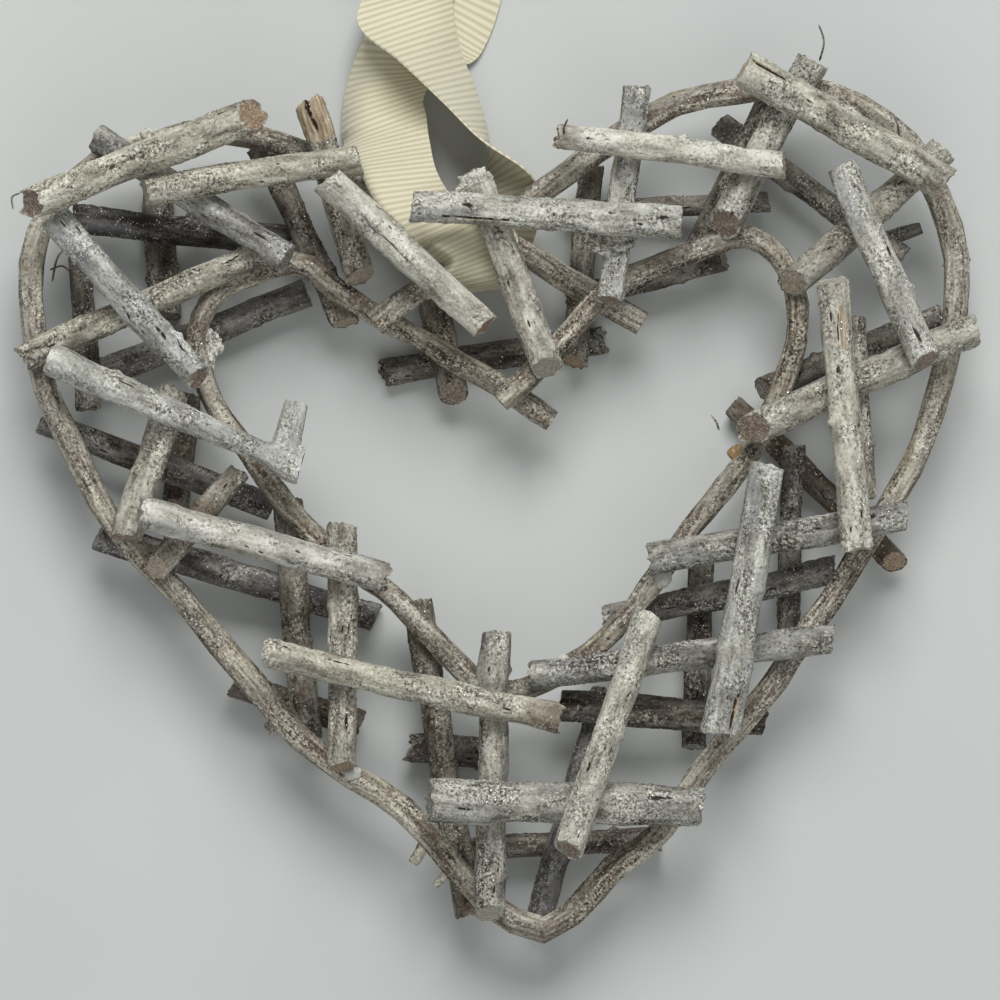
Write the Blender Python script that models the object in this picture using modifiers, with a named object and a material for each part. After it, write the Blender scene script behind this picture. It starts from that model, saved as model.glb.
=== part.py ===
"""Twig heart wreath, lying on its back, with its hanging ribbon.

Two bent canes make the frame. Each is one heart-shaped hoop, continuous at the lower tip, with its
two ends crossing in the dip. Short twigs are glued across the hoops in front and behind, and the
topmost lie on other twigs. A flat ribbon is looped round the crossing of the outer hoop.

Metres, +Z up and away from the table, +Y towards the two lobes, origin on the table under the
middle of the whole. Plan places are drawn in millimetres, as the heart is seen from above.
"""
import math
import random

import bmesh
import bpy
import numpy as np
from mathutils import Matrix, Vector

# Driving sizes, in metres
HEART_WIDTH = 0.193
OUTER_CANE = 0.0048
INNER_CANE = 0.0046
TWIG_LENGTH = 0.048
TWIG_THICKNESS = 0.0062
GLUE_GAP = 0.0003
RIBBON_WIDTH = 0.022
RIBBON_THICKNESS = 0.0008
HANGING_LENGTH = 0.104
RIBBON_LAP = 0.014
FOLD_HEIGHT = 0.0034

# What the drawing shows for the same sizes, in millimetres
DRAWN_HEART_WIDTH = 193.0
DRAWN_TWIG_LENGTH = 48.0
DRAWN_TWIG_THICKNESS = 6.2

# Making of the pieces
CANE_STEP = 0.0085
CANE_UNEVENNESS = 0.05
TWIG_SPANS = 5
TWIG_BOW = 0.009
TWIG_UNEVENNESS = 0.035
CUT_SLANT = 0.22
SAMPLE_STEP = 0.001
STEEPEST_TWIG = math.radians(9.0)
LEVEL_PULL = 0.005
RIBBON_STEP = 0.0045
GRAIN_SEED = 11
SEARCH_ROUNDS = 60
STEEPEST_TABLE = 0.2
SPAN_SAMPLES = 40
FEWEST_SPHERES = 3
FOLD_STEPS = 6
TWIG_ROUNDNESS = 3
CANE_ROUNDNESS = 2
MERGE_DISTANCE = 1e-6
END_DEPTH = 1e-5
SMOOTH_ANGLE = math.radians(50.0)
BARK_ROUGHNESS = 0.8
CANE_ROUGHNESS = 0.75
RIBBON_ROUGHNESS = 0.65

# Base colours, as linear red, green and blue
CANE_BROWN = (0.30, 0.25, 0.21)
WHITEWASH = (0.52, 0.50, 0.46)
SHADED_WHITEWASH = (0.36, 0.34, 0.32)
CREAM = (0.83, 0.78, 0.57)

# Outer cane, from its left run's end, round the heart, to its right run's end: x, y in drawn
# millimetres, and the height above the hoop plane as a share of the cane and its glue gap
OUTER_CANE_ROUTE = (
    (28.5, 35.5, -0.65), (16, 43, -0.65), (4, 50.5, -0.6), (-9, 57, -0.42), (-20, 62, -0.1),
    (-30, 66.5, 0), (-40, 70, 0), (-47.5, 72.5, 0), (-58, 74, 0), (-70, 71.5, 0), (-80, 68, 0),
    (-88, 61, 0), (-92.5, 53, 0), (-94, 43, 0), (-93, 32, 0), (-90.5, 21, 0), (-85, 10, 0),
    (-78.5, -3, 0), (-71, -12, 0), (-64, -19, 0), (-52, -33.5, 0), (-40, -47.5, 0),
    (-30, -55, 0), (-20, -61, 0), (-12, -70, 0), (-2, -81, 0), (5, -85, 0), (9, -86, 0),
    (14, -83, 0), (21, -75, 0), (32, -66.5, 0), (41, -53, 0), (52, -40, 0), (60, -29, 0),
    (68, -17, 0), (76, -4, 0), (82, 6, 0), (88, 22, 0), (91, 36, 0), (91.5, 48, 0),
    (89, 58, 0), (83, 70, 0), (74, 78, 0), (64, 82.5, 0), (56, 83, 0), (47, 82, 0),
    (38, 80.5, 0), (30, 77, 0), (20, 70.5, 0.1), (12, 64.5, 0.3), (5, 59, 0.48),
    (-10, 47, 0.6), (-25, 35, 0.6),
)

# Inner cane, in the same order
INNER_CANE_ROUTE = (
    (10.5, 16, -0.65), (0, 23, -0.58), (-10.5, 29, -0.5), (-20.5, 35, -0.48), (-30.5, 40.5, -0.3),
    (-40, 47.5, 0), (-46, 46.5, 0), (-53, 43.5, 0), (-58.5, 40, 0), (-60.5, 33, 0),
    (-59.5, 25, 0), (-56.5, 18, 0), (-52, 12, 0), (-46, 3, 0), (-38, -6, 0), (-31, -12.5, 0),
    (-23, -18, 0), (-14, -27, 0), (-4.5, -36.5, 0), (-0.5, -39.5, 0), (4, -38, 0),
    (12, -34.5, 0), (18.5, -30, 0), (24.5, -24, 0), (30.5, -16.5, 0), (37.5, -6.5, 0),
    (44, 1.5, 0), (49, 7.5, 0), (53, 15, 0), (57, 24, 0), (59.5, 33, 0), (59.5, 40, 0),
    (57, 47.5, 0), (51.5, 52.5, 0), (45, 52.5, 0.05), (37, 49, 0.15), (30, 46.5, 0.3),
    (22.5, 42.5, 0.45), (15, 35, 0.5), (7, 26, 0.58), (0, 19.5, 0.62),
)

# Twigs: both ends in plan and the thickness at each end, in drawn millimetres. Each list is in the
# order in which its twigs are glued on, away from the hoops
FRONT_TWIGS = (
    ((71, 36.5), (73, 0), 4.8, 4.8),
    ((-95, 28), (-48.5, 49), 5.8, 5.6),
    ((-65, 21.5), (-74.5, -8), 6.6, 6.8),
    ((-52, 5.5), (-70, -15.5), 5.0, 5.4),
    ((-31.5, -5.5), (-31.5, -54.5), 6.0, 5.8),
    ((-0.5, -26), (-2, -84), 6.2, 6.6),
    ((6, -35.5), (66, -28), 6.2, 6.2),
    ((30, -12), (81, -3.5), 6.4, 6.0),
    ((48, 12.5), (95, 33.5), 7.0, 6.2),
    ((56.5, 41.5), (88.5, 69.5), 6.8, 6.4),
    ((62.5, 87.5), (44, 53), 6.8, 6.8),
    ((27.5, 82.5), (22, 38.5), 6.0, 6.0),
    ((-4.5, 63), (10, 24.5), 6.6, 6.6),
    ((-38, 79), (-27.5, 42.5), 6.4, 6.2),
    ((-80.5, 72), (-42.5, 47.5), 6.0, 6.0),
)

TOP_TWIGS = (
    ((-71.5, 60.5), (-28, 67), 6.2, 6.4),
    ((-89, 56), (-59.5, 23), 6.4, 5.8),
    ((-95.5, 57), (-47.5, 76), 6.6, 7.0),
    ((-89.5, 27.5), (-40, 2.5), 6.8, 7.0),
    ((-71.5, -3), (-23, -16), 7.0, 6.0),
    ((-46.5, -31), (11.5, -44), 6.2, 6.4),
    ((-14, -60.5), (40, -61.5), 9.0, 8.0),
    ((29.5, -23.5), (13, -71.5), 6.2, 6.4),
    ((53, 6), (43.5, -47), 7.0, 8.4),
    ((66, 42.5), (71, -10.5), 6.4, 6.6),
    ((48, 85.5), (89, 62), 7.6, 7.2),
    ((68, 66), (85, 25.5), 6.2, 6.6),
    ((11.5, 72), (56.5, 66), 5.2, 5.6),
    ((-34.5, 62.5), (-2, 33), 6.8, 6.0),
    ((-17.5, 57), (36, 54.5), 6.6, 7.0),
)

BACK_TWIGS = (
    ((-42.5, 0), (-38.5, -47), 6.2, 6.0),
    ((-16.5, -20), (-6, -82.5), 6.0, 6.2),
    ((12, -41), (53, -43.5), 6.6, 6.8),
    ((21, -23.5), (67, -13.5), 5.6, 5.8),
    ((53.5, 79.5), (36.5, 46), 5.4, 5.4),
    ((-48.5, 72), (-30.5, 35), 5.8, 5.8),
    ((-85.5, 57), (-40, 52.5), 6.0, 6.2),
    ((-84.5, 53), (-82.5, 18.5), 4.8, 4.8),
    ((-81.5, 25.5), (-39, 42.5), 6.0, 5.8),
    ((-92, 16), (-46, -1), 5.6, 5.6),
    ((-80.5, -7), (-25, -23), 6.4, 6.2),
    ((-53.5, -36.5), (-28, -44.5), 5.6, 5.6),
    ((-17.5, -49.2), (-1, -50.5), 6.6, 6.6),
    ((8, -83), (21, -38), 5.4, 5.2),
    ((-5, -69.5), (32, -67.5), 5.2, 5.4),
    ((40.5, -12), (39, -49), 5.2, 5.2),
    ((59, 11), (58, -26), 4.8, 4.8),
    ((51.5, 22), (89, 37.5), 5.2, 5.0),
    ((47, 20), (80.5, -13), 5.0, 5.2),
    ((44.5, 76.5), (81, 49), 5.6, 5.0),
    ((-15.5, 50), (-9, 20), 6.0, 6.0),
    ((18.5, 68), (15, 27), 5.4, 5.4),
    ((12.5, 59), (54, 60.5), 4.0, 4.2),
    ((14, 42), (45, 49), 5.0, 5.0),
    ((-63, 22), (-65.5, -1.5), 5.6, 5.6),
    ((-69, 63.5), (-67.5, 38), 6.4, 6.6),
    ((-23, 26.5), (20.5, 33), 5.8, 5.8),
)

# Short side shoots left on some twigs: place along the twig as a share of its length, plan heading
# from the twig's own heading in degrees, then length and thickness in drawn millimetres
SIDE_SHOOTS = {
    "twig_top_03": (0.60, 115.0, 6.0, 3.0),
    "twig_top_04": (0.93, 100.0, 11.5, 5.6),
    "twig_front_06": (0.17, -90.0, 4.8, 3.6),
    "twig_back_07": (0.55, 80.0, 7.5, 3.6),
    "twig_back_20": (0.88, 55.0, 8.5, 3.0),
}
SHOOT_TAPER = 0.8

# Ribbon round the crossing, from the front of the hoop to its back: plan place in drawn
# millimetres, height from the hoop plane in outer cane thicknesses, then the plan bearing of its
# width and how far the right selvedge is turned down, both in degrees
RIBBON_LOOP = (
    (-19.5, 70.0, 0.65, 15.0, 22.0),
    (-14.5, 61.0, 1.22, 30.0, 2.0),
    (-7.0, 50.0, 1.34, 30.0, 0.0),
    (-1.0, 41.5, 1.00, 20.0, 0.0),
    (1.0, 37.5, -0.20, 10.0, 0.0),
    (1.0, 41.5, -1.50, 4.0, 0.0),
    (0.5, 50.0, -1.80, 0.0, 0.0),
    (0.5, 60.0, -1.68, -5.0, 9.0),
)

# Ribbon between the loop and its flat end: the height is from the table, in ribbon widths
FRONT_STRAND = (
    (-11.0, 123.0, 0.05, 0.0, 0.0),
    (-11.0, 114.0, 0.05, 0.0, 0.0),
    (-10.0, 105.0, 0.09, -12.0, 2.0),
    (-15.0, 95.0, 0.20, -24.0, 14.0),
    (-23.0, 81.0, 0.44, -5.0, 38.0),
)
BACK_STRAND = (
    (-1.5, 71.0, 0.56, -20.0, 84.0),
    (-11.0, 83.0, 0.56, -15.0, 64.0),
    (-18.0, 95.0, 0.55, -5.0, 32.0),
    (-14.0, 106.0, 0.32, 0.0, 10.0),
    (-11.0, 115.0, 0.19, 0.0, 0.0),
    (-11.0, 123.0, 0.15, 0.0, 0.0),
)
DIP_Y = 60.0

PLAN_SCALE = HEART_WIDTH / DRAWN_HEART_WIDTH
LENGTH_SCALE = TWIG_LENGTH / DRAWN_TWIG_LENGTH
THICKNESS_SCALE = TWIG_THICKNESS / DRAWN_TWIG_THICKNESS


def clear_scene():
    for item in list(bpy.data.objects):
        bpy.data.objects.remove(item, do_unlink=True)


def new_collection(name):
    collection = bpy.data.collections.new(name)
    bpy.context.scene.collection.children.link(collection)
    return collection


def new_material(name, colour, roughness):
    material = bpy.data.materials.new(name)
    material.use_nodes = True
    shader = material.node_tree.nodes["Principled BSDF"]
    shader.inputs["Base Color"].default_value = (*colour, 1.0)
    shader.inputs["Roughness"].default_value = roughness
    shader.inputs["Metallic"].default_value = 0.0
    return material


def smooth_route(points, step):
    """Even points, a step apart, on the smooth curve through the given ones."""
    points = np.asarray(points, dtype=float)
    before = 2 * points[0] - points[1]
    after = 2 * points[-1] - points[-2]
    padded = np.vstack([before, points, after])
    pieces = []
    for first, second, third, fourth in zip(padded, padded[1:], padded[2:], padded[3:]):
        share = np.linspace(0.0, 1.0, SPAN_SAMPLES, endpoint=False)[:, None]
        pieces.append(0.5 * (
            2 * second
            + (third - first) * share
            + (2 * first - 5 * second + 4 * third - fourth) * share ** 2
            + (3 * second - first - 3 * third + fourth) * share ** 3))
    dense = np.vstack(pieces + [points[-1:]])
    return even_points(dense, step)


def even_points(points, step):
    """The same line with points a step apart, both ends kept. Place is the first three values."""
    lengths = np.linalg.norm(np.diff(points[:, :3], axis=0), axis=1)
    along = np.concatenate([[0.0], np.cumsum(lengths)])
    count = max(2, int(round(along[-1] / step)) + 1)
    wanted = np.linspace(0.0, along[-1], count)
    return np.column_stack([np.interp(wanted, along, column) for column in points.T])


def tube(name, points, radii, roundness):
    """Closed round tube along the points, as a mesh with both ends capped."""
    curve = bpy.data.curves.new(name, "CURVE")
    curve.dimensions = "3D"
    curve.bevel_depth = 1.0
    curve.bevel_resolution = roundness
    curve.use_fill_caps = True
    spline = curve.splines.new("POLY")
    spline.points.add(len(points) - 1)
    for spot, place, radius in zip(spline.points, points, radii):
        spot.co = (*place, 1.0)
        spot.radius = radius
    carrier = bpy.data.objects.new(name + "_guide", curve)
    bpy.context.scene.collection.objects.link(carrier)
    bpy.context.view_layer.update()
    evaluated = carrier.evaluated_get(bpy.context.evaluated_depsgraph_get())
    mesh = bpy.data.meshes.new_from_object(evaluated)
    mesh.name = name
    bpy.data.objects.remove(carrier, do_unlink=True)
    work = bmesh.new()
    work.from_mesh(mesh)
    bmesh.ops.remove_doubles(work, verts=work.verts, dist=MERGE_DISTANCE)
    bmesh.ops.recalc_face_normals(work, faces=work.faces)
    work.to_mesh(mesh)
    work.free()
    return mesh


def slant_cut(mesh, end, outward, lean):
    """Leans the flat cut at one end: its rim moves along the piece by the lean at each point."""
    middle = Vector(end)
    direction = Vector(outward).normalized()
    for vertex in mesh.vertices:
        offset = vertex.co - middle
        if abs(offset.dot(direction)) < END_DEPTH:
            vertex.co += direction * offset.dot(lean)


def make_object(name, mesh, material, collection, parent):
    mesh.materials.clear()
    mesh.materials.append(material)
    mesh.shade_smooth()
    mesh.set_sharp_from_angle(angle=SMOOTH_ANGLE)
    piece = bpy.data.objects.new(name, mesh)
    collection.objects.link(piece)
    piece.parent = parent
    return piece


def spheres_along(points, radii):
    """Rows of x, y, z and radius, close together along a line of rings."""
    rings = np.column_stack([points, radii])
    return even_points(rings, SAMPLE_STEP)


def cane(route, thickness, grain):
    """Centre points and radii of a hoop, its height shares turned into metres."""
    drawn = np.array(route, dtype=float)
    places = np.column_stack([
        drawn[:, :2] * PLAN_SCALE,
        drawn[:, 2] * (thickness + GLUE_GAP)])
    points = smooth_route(places, CANE_STEP)
    radii = [thickness / 2 * (1 - CANE_UNEVENNESS * grain.random()) for _ in points]
    return points, np.array(radii)


def twig_rings(name, drawing, grain):
    """Plan points along a twig, how far along each lies, its radii, and its side shoot."""
    tail, tip, tail_thickness, tip_thickness = drawing
    tail = np.array(tail, dtype=float)
    tip = np.array(tip, dtype=float)
    middle = (tail + tip) / 2 * PLAN_SCALE
    heading = (tip - tail) / np.linalg.norm(tip - tail)
    across = np.array([-heading[1], heading[0]])
    length = np.linalg.norm(tip - tail) * LENGTH_SCALE
    bow = TWIG_BOW * length * (2 * grain.random() - 1)
    share = np.linspace(0.0, 1.0, TWIG_SPANS + 1)
    along = (share - 0.5) * length
    arch = bow * (1 - (2 * share - 1) ** 2)
    plan = middle + heading * along[:, None] + across * arch[:, None]
    thickness = np.interp(share, (0, 1), (tail_thickness, tip_thickness)) * THICKNESS_SCALE
    knobs = np.array([1 + TWIG_UNEVENNESS * (2 * grain.random() - 1) for _ in share])
    radii = thickness / 2 * knobs
    shoot = None
    if name in SIDE_SHOOTS:
        place, turn, reach, girth = SIDE_SHOOTS[name]
        angle = math.atan2(heading[1], heading[0]) + math.radians(turn)
        aim = np.array([math.cos(angle), math.sin(angle)])
        root = np.array([np.interp(place, share, plan[:, 0]), np.interp(place, share, plan[:, 1])])
        tip_of_shoot = root + aim * reach * LENGTH_SCALE
        shoot_radius = girth / 2 * THICKNESS_SCALE
        shoot_plan = np.array([root, (root + tip_of_shoot) / 2, tip_of_shoot])
        shoot_radii = np.array([1.0, (1 + SHOOT_TAPER) / 2, SHOOT_TAPER]) * shoot_radius
        shoot = (shoot_plan, (shoot_plan - middle) @ heading, shoot_radii)
    return plan, along, radii, shoot


def easiest_slope(effort, steepest):
    """Slope of least effort, found by narrowing the range by a third at a time."""
    low, high = -steepest, steepest
    for _ in range(SEARCH_ROUNDS):
        left = low + (high - low) / 3
        right = high - (high - low) / 3
        if effort(left) < effort(right):
            high = right
        else:
            low = left
    return (low + high) / 2


def rest_on(settled, plan, along, radii, side):
    """Height at the middle and slope of a straight twig that rests on what is settled.

    Side is 1 above the hoops and -1 behind them. The twig comes as close as the glue gap lets it
    and stays on its own side of the hoop plane.
    """
    flat = ((plan[:, None, :] - settled[None, :, :2]) ** 2).sum(axis=2)
    reach = radii[:, None] + settled[None, :, 3] + GLUE_GAP
    touching = flat < reach ** 2
    rise = side * settled[None, :, 2] + np.sqrt(np.maximum(reach ** 2 - flat, 0))
    over = np.where(touching, rise, 0.0)
    lowest = np.maximum(over.max(axis=1), radii + GLUE_GAP)

    def height_at(slope):
        return (lowest - slope * along).max()

    def effort(slope):
        return height_at(slope) + LEVEL_PULL * abs(slope)

    slope = easiest_slope(effort, math.tan(STEEPEST_TWIG))
    return side * height_at(slope), side * slope


def settle_twig(name, drawing, settled, side, grain):
    """Rings of one twig in space, with the spheres that the next twigs rest on."""
    plan, along, radii, shoot = twig_rings(name, drawing, grain)
    spare = radii.max() * CUT_SLANT
    ends_out = np.array([along[0] - spare, *along[1:-1], along[-1] + spare])
    rows = [np.column_stack([plan, ends_out, radii])]
    if shoot:
        rows.append(np.column_stack([shoot[0], shoot[1], shoot[2]]))
    close = []
    for row in rows:
        lengths = np.linalg.norm(np.diff(row[:, :2], axis=0), axis=1)
        reach = np.concatenate([[0.0], np.cumsum(lengths)])
        wanted = np.linspace(0.0, reach[-1], max(FEWEST_SPHERES, int(reach[-1] / SAMPLE_STEP) + 1))
        close.append(np.column_stack([np.interp(wanted, reach, column) for column in row.T]))
    close = np.vstack(close)
    height, slope = rest_on(settled, close[:, :2], close[:, 2], close[:, 3], side)
    spheres = np.column_stack([close[:, :2], height + slope * close[:, 2], close[:, 3]])
    rings = np.column_stack([plan, height + slope * along])
    shoot_rings = None
    if shoot:
        shoot_rings = np.column_stack([shoot[0], height + slope * shoot[1]])
    return rings, radii, shoot_rings, shoot, spheres


def glue_on(prefix, drawings, settled, side, grain):
    """Settles a list of twigs in turn and returns them with everything now in place."""
    twigs = []
    for number, drawing in enumerate(drawings, start=1):
        name = f"{prefix}_{number:02d}"
        rings, radii, shoot_rings, shoot, spheres = settle_twig(name, drawing, settled, side, grain)
        settled = np.vstack([settled, spheres])
        twigs.append((name, rings, radii, shoot_rings, shoot))
    return twigs, settled


def table_plane(settled):
    """Slopes and height of the plane that the wreath rests on, under its middle."""
    middle = settled[:, :2].mean(axis=0)
    offsets = settled[:, :2] - middle
    undersides = settled[:, 2] - settled[:, 3]

    def clearance(tilt_x, tilt_y):
        return (undersides - tilt_x * offsets[:, 0] - tilt_y * offsets[:, 1]).min()

    def best_y(tilt_x):
        return easiest_slope(lambda tilt_y: -clearance(tilt_x, tilt_y), STEEPEST_TABLE)

    tilt_x = easiest_slope(lambda tilt: -clearance(tilt, best_y(tilt)), STEEPEST_TABLE)
    tilt_y = best_y(tilt_x)
    level = clearance(tilt_x, tilt_y) - tilt_x * middle[0] - tilt_y * middle[1]
    return tilt_x, tilt_y, level


def loop_stations():
    """Ribbon stations round the crossing: place, bearing and turn."""
    rows = []
    for x, y, height, bearing, turn in RIBBON_LOOP:
        rows.append((x * PLAN_SCALE, y * PLAN_SCALE, height * OUTER_CANE, bearing, turn))
    return rows


def strand_stations(strand, plane):
    """Ribbon stations of a strand whose heights are taken from the table."""
    tilt_x, tilt_y, level = plane
    rows = []
    for x, y, height, bearing, turn in strand:
        place_x = x * PLAN_SCALE
        place_y = y * PLAN_SCALE
        table = level + tilt_x * place_x + tilt_y * place_y
        rows.append((place_x, place_y, table + height * RIBBON_WIDTH, bearing, turn))
    return rows


def ribbon_frames(stations, step):
    """Centres and width directions along a ribbon route."""
    route = smooth_route(stations, step)
    centres = route[:, :3]
    heads = np.gradient(centres, axis=0)
    heads /= np.linalg.norm(heads, axis=1)[:, None]
    bearing = np.radians(route[:, 3])
    turn = np.radians(route[:, 4])
    widths = np.column_stack([
        np.cos(turn) * np.cos(bearing), np.cos(turn) * np.sin(bearing), -np.sin(turn)])
    widths -= (widths * heads).sum(axis=1)[:, None] * heads
    widths /= np.linalg.norm(widths, axis=1)[:, None]
    return centres, widths


def ribbon_spheres(centres, widths):
    """Rows of x, y, z and radius that cover a stretch of ribbon."""
    lanes = np.arange(-RIBBON_WIDTH / 2, RIBBON_WIDTH / 2 + SAMPLE_STEP / 2, SAMPLE_STEP)
    rows = [np.column_stack([centres + widths * lane, np.full(len(centres), RIBBON_THICKNESS / 2)])
            for lane in lanes]
    return np.vstack(rows)


def flat_end(plane):
    """Straight stretch on the table, its fold, and the way back to the lap.

    Rows are the centres from the end of the back strand to the ribbon's lapped end.
    """
    tilt_x, tilt_y, level = plane
    x = BACK_STRAND[-1][0] * PLAN_SCALE
    upper = BACK_STRAND[-1][2] * RIBBON_WIDTH
    lower = FRONT_STRAND[0][2] * RIBBON_WIDTH
    lap_rise = RIBBON_THICKNESS + 2 * GLUE_GAP
    far = DIP_Y * PLAN_SCALE + HANGING_LENGTH
    radius = (upper - lower) / 2
    rows = [(BACK_STRAND[-1][1] * PLAN_SCALE + FOLD_HEIGHT, upper), (far, upper)]
    for number in range(1, FOLD_STEPS):
        angle = math.pi * number / FOLD_STEPS
        rows.append((far + radius * math.sin(angle), lower + radius + radius * math.cos(angle)))
    rows.append((far, lower))
    start = FRONT_STRAND[0][1] * PLAN_SCALE
    rows.append((start + RIBBON_LAP + FOLD_HEIGHT, lower))
    rows.append((start + RIBBON_LAP, lower + lap_rise))
    rows.append((start + GLUE_GAP, lower + lap_rise))
    centres = [(x, reach, level + tilt_x * x + tilt_y * reach + rise) for reach, rise in rows]
    return np.array(centres)


def ribbon_mesh(name, centres, widths):
    """Open strip extruded edge by edge along the ribbon's frames."""
    work = bmesh.new()
    half = RIBBON_WIDTH / 2
    left = work.verts.new(centres[0] - widths[0] * half)
    right = work.verts.new(centres[0] + widths[0] * half)
    edge = work.edges.new((left, right))
    for centre, width in zip(centres[1:], widths[1:]):
        grown = bmesh.ops.extrude_edge_only(work, edges=[edge])["geom"]
        corners = [item for item in grown if isinstance(item, bmesh.types.BMVert)]
        edge = next(item for item in grown if isinstance(item, bmesh.types.BMEdge))
        first_is_left = (corners[0].co - left.co).length < (corners[0].co - right.co).length
        left, right = corners if first_is_left else corners[::-1]
        left.co = centre - width * half
        right.co = centre + width * half
    mesh = bpy.data.meshes.new(name)
    work.to_mesh(mesh)
    work.free()
    return mesh


def make_twig(twig, material, collection, cutters, parent, grain):
    name, rings, radii, shoot_rings, shoot = twig
    mesh = tube(name, rings, radii, TWIG_ROUNDNESS)
    for end, beyond in ((0, 1), (-1, -2)):
        outward = rings[end] - rings[beyond]
        lean = Vector((grain.uniform(-1, 1), grain.uniform(-1, 1), grain.uniform(-1, 1)))
        slant_cut(mesh, rings[end], outward, lean.normalized() * CUT_SLANT)
    piece = make_object(name, mesh, material, collection, parent)
    if shoot:
        side_mesh = tube(name + "_shoot", shoot_rings, shoot[2], CANE_ROUNDNESS)
        side_piece = make_object(name + "_shoot", side_mesh, material, cutters, parent)
        side_piece.hide_render = True
        side_piece.display_type = "WIRE"
        join = piece.modifiers.new("grown together", "BOOLEAN")
        join.operation = "UNION"
        join.solver = "EXACT"
        join.object = side_piece
    return piece


def seat_on_table(stand, collection, plane):
    """Turns the table plane level and puts the origin under the middle of the whole."""
    tilt_x, tilt_y, level = plane
    upright = Vector((-tilt_x, -tilt_y, 1.0)).rotation_difference(Vector((0.0, 0.0, 1.0)))
    stand.matrix_world = upright.to_matrix().to_4x4()
    bpy.context.view_layer.update()
    graph = bpy.context.evaluated_depsgraph_get()
    corners = []
    for piece in collection.objects:
        if piece.type == "MESH":
            shape = piece.evaluated_get(graph)
            corners.extend(shape.matrix_world @ vertex.co for vertex in shape.data.vertices)
    corners = np.array(corners)
    low = corners.min(axis=0)
    high = corners.max(axis=0)
    middle = (low + high) / 2
    stand.matrix_world = Matrix.Translation((-middle[0], -middle[1], -low[2])) @ stand.matrix_world


def build():
    clear_scene()
    grain = random.Random(GRAIN_SEED)
    wreath = new_collection("twig_heart_wreath")
    cutters = new_collection("side_shoots")
    stand = bpy.data.objects.new("table_frame", None)
    wreath.objects.link(stand)

    bark = new_material("frosted_cane_bark", CANE_BROWN, CANE_ROUGHNESS)
    front_bark = new_material("whitewashed_twig", WHITEWASH, BARK_ROUGHNESS)
    back_bark = new_material("whitewashed_twig_behind", SHADED_WHITEWASH, BARK_ROUGHNESS)
    cream = new_material("cream_grosgrain", CREAM, RIBBON_ROUGHNESS)

    outer_points, outer_radii = cane(OUTER_CANE_ROUTE, OUTER_CANE, grain)
    inner_points, inner_radii = cane(INNER_CANE_ROUTE, INNER_CANE, grain)
    hoops = np.vstack([
        spheres_along(outer_points, outer_radii),
        spheres_along(inner_points, inner_radii)])
    loop = ribbon_spheres(*ribbon_frames(loop_stations(), SAMPLE_STEP))
    settled = np.vstack([hoops, loop])

    back, behind = glue_on("twig_back", BACK_TWIGS, settled, -1, grain)
    plane = table_plane(behind)
    stations = (strand_stations(FRONT_STRAND, plane) + loop_stations()
                + strand_stations(BACK_STRAND, plane))
    whole_ribbon = ribbon_spheres(*ribbon_frames(stations, SAMPLE_STEP))
    front, before = glue_on("twig_front", FRONT_TWIGS, np.vstack([hoops, whole_ribbon]), 1, grain)
    top, before = glue_on("twig_top", TOP_TWIGS, before, 1, grain)

    outer_mesh = tube("outer_hoop", outer_points, outer_radii, CANE_ROUNDNESS)
    inner_mesh = tube("inner_hoop", inner_points, inner_radii, CANE_ROUNDNESS)
    make_object("outer_hoop", outer_mesh, bark, wreath, stand)
    make_object("inner_hoop", inner_mesh, bark, wreath, stand)
    for twig in front + top:
        make_twig(twig, front_bark, wreath, cutters, stand, grain)
    for twig in back:
        make_twig(twig, back_bark, wreath, cutters, stand, grain)

    centres, widths = ribbon_frames(stations, RIBBON_STEP)
    end_centres = flat_end(plane)
    square = np.array([1.0, 0.0, plane[0]]) / math.hypot(1.0, plane[0])
    end_widths = np.tile(square, (len(end_centres), 1))
    strip = ribbon_mesh(
        "hanging_ribbon",
        np.vstack([centres, end_centres]),
        np.vstack([widths, end_widths]))
    ribbon = make_object("hanging_ribbon", strip, cream, wreath, stand)
    cloth = ribbon.modifiers.new("cloth", "SOLIDIFY")
    cloth.thickness = RIBBON_THICKNESS
    cloth.offset = 0.0

    seat_on_table(stand, wreath, plane)


build()
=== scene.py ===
# Twig heart wreath: bark, sawn ends, glue, glitter and ribbon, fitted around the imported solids
import math
import random
from functools import partial

import bpy
import numpy as np
from mathutils import Matrix, Vector, noise
from mathutils.bvhtree import BVHTree


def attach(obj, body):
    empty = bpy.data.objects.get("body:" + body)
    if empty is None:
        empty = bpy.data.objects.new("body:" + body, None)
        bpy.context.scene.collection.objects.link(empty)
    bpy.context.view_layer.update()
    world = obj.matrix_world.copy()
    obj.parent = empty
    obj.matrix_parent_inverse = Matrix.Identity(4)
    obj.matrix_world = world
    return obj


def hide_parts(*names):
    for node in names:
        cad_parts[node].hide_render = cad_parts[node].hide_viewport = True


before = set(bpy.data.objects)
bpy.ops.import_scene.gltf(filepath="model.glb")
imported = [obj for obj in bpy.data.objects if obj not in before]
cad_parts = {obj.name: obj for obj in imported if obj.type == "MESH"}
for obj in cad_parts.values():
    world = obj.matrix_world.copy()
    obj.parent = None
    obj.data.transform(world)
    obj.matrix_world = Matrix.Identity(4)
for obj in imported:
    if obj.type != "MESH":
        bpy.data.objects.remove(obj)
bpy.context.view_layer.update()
print("solids loaded:", len(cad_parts))

mm = 0.001
chance = random.Random(23)

# where the drawn heart stands on the table: shift of its middle and the slight lean of the hoops
stand = {"middle": (0.44, -38.7, 17.65), "lean": (0.00434, 0.00648)}


def onTable(x, y, z):
    # a place in drawn millimetres, height from the hoop plane, to metres in the part's frame
    leanX, leanY = stand["lean"]
    shiftX, shiftY, shiftZ = stand["middle"]
    return ((x + leanX * z + shiftX) * mm, (y + leanY * z + shiftY) * mm,
            (z - leanX * x - leanY * y + shiftZ) * mm)


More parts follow.
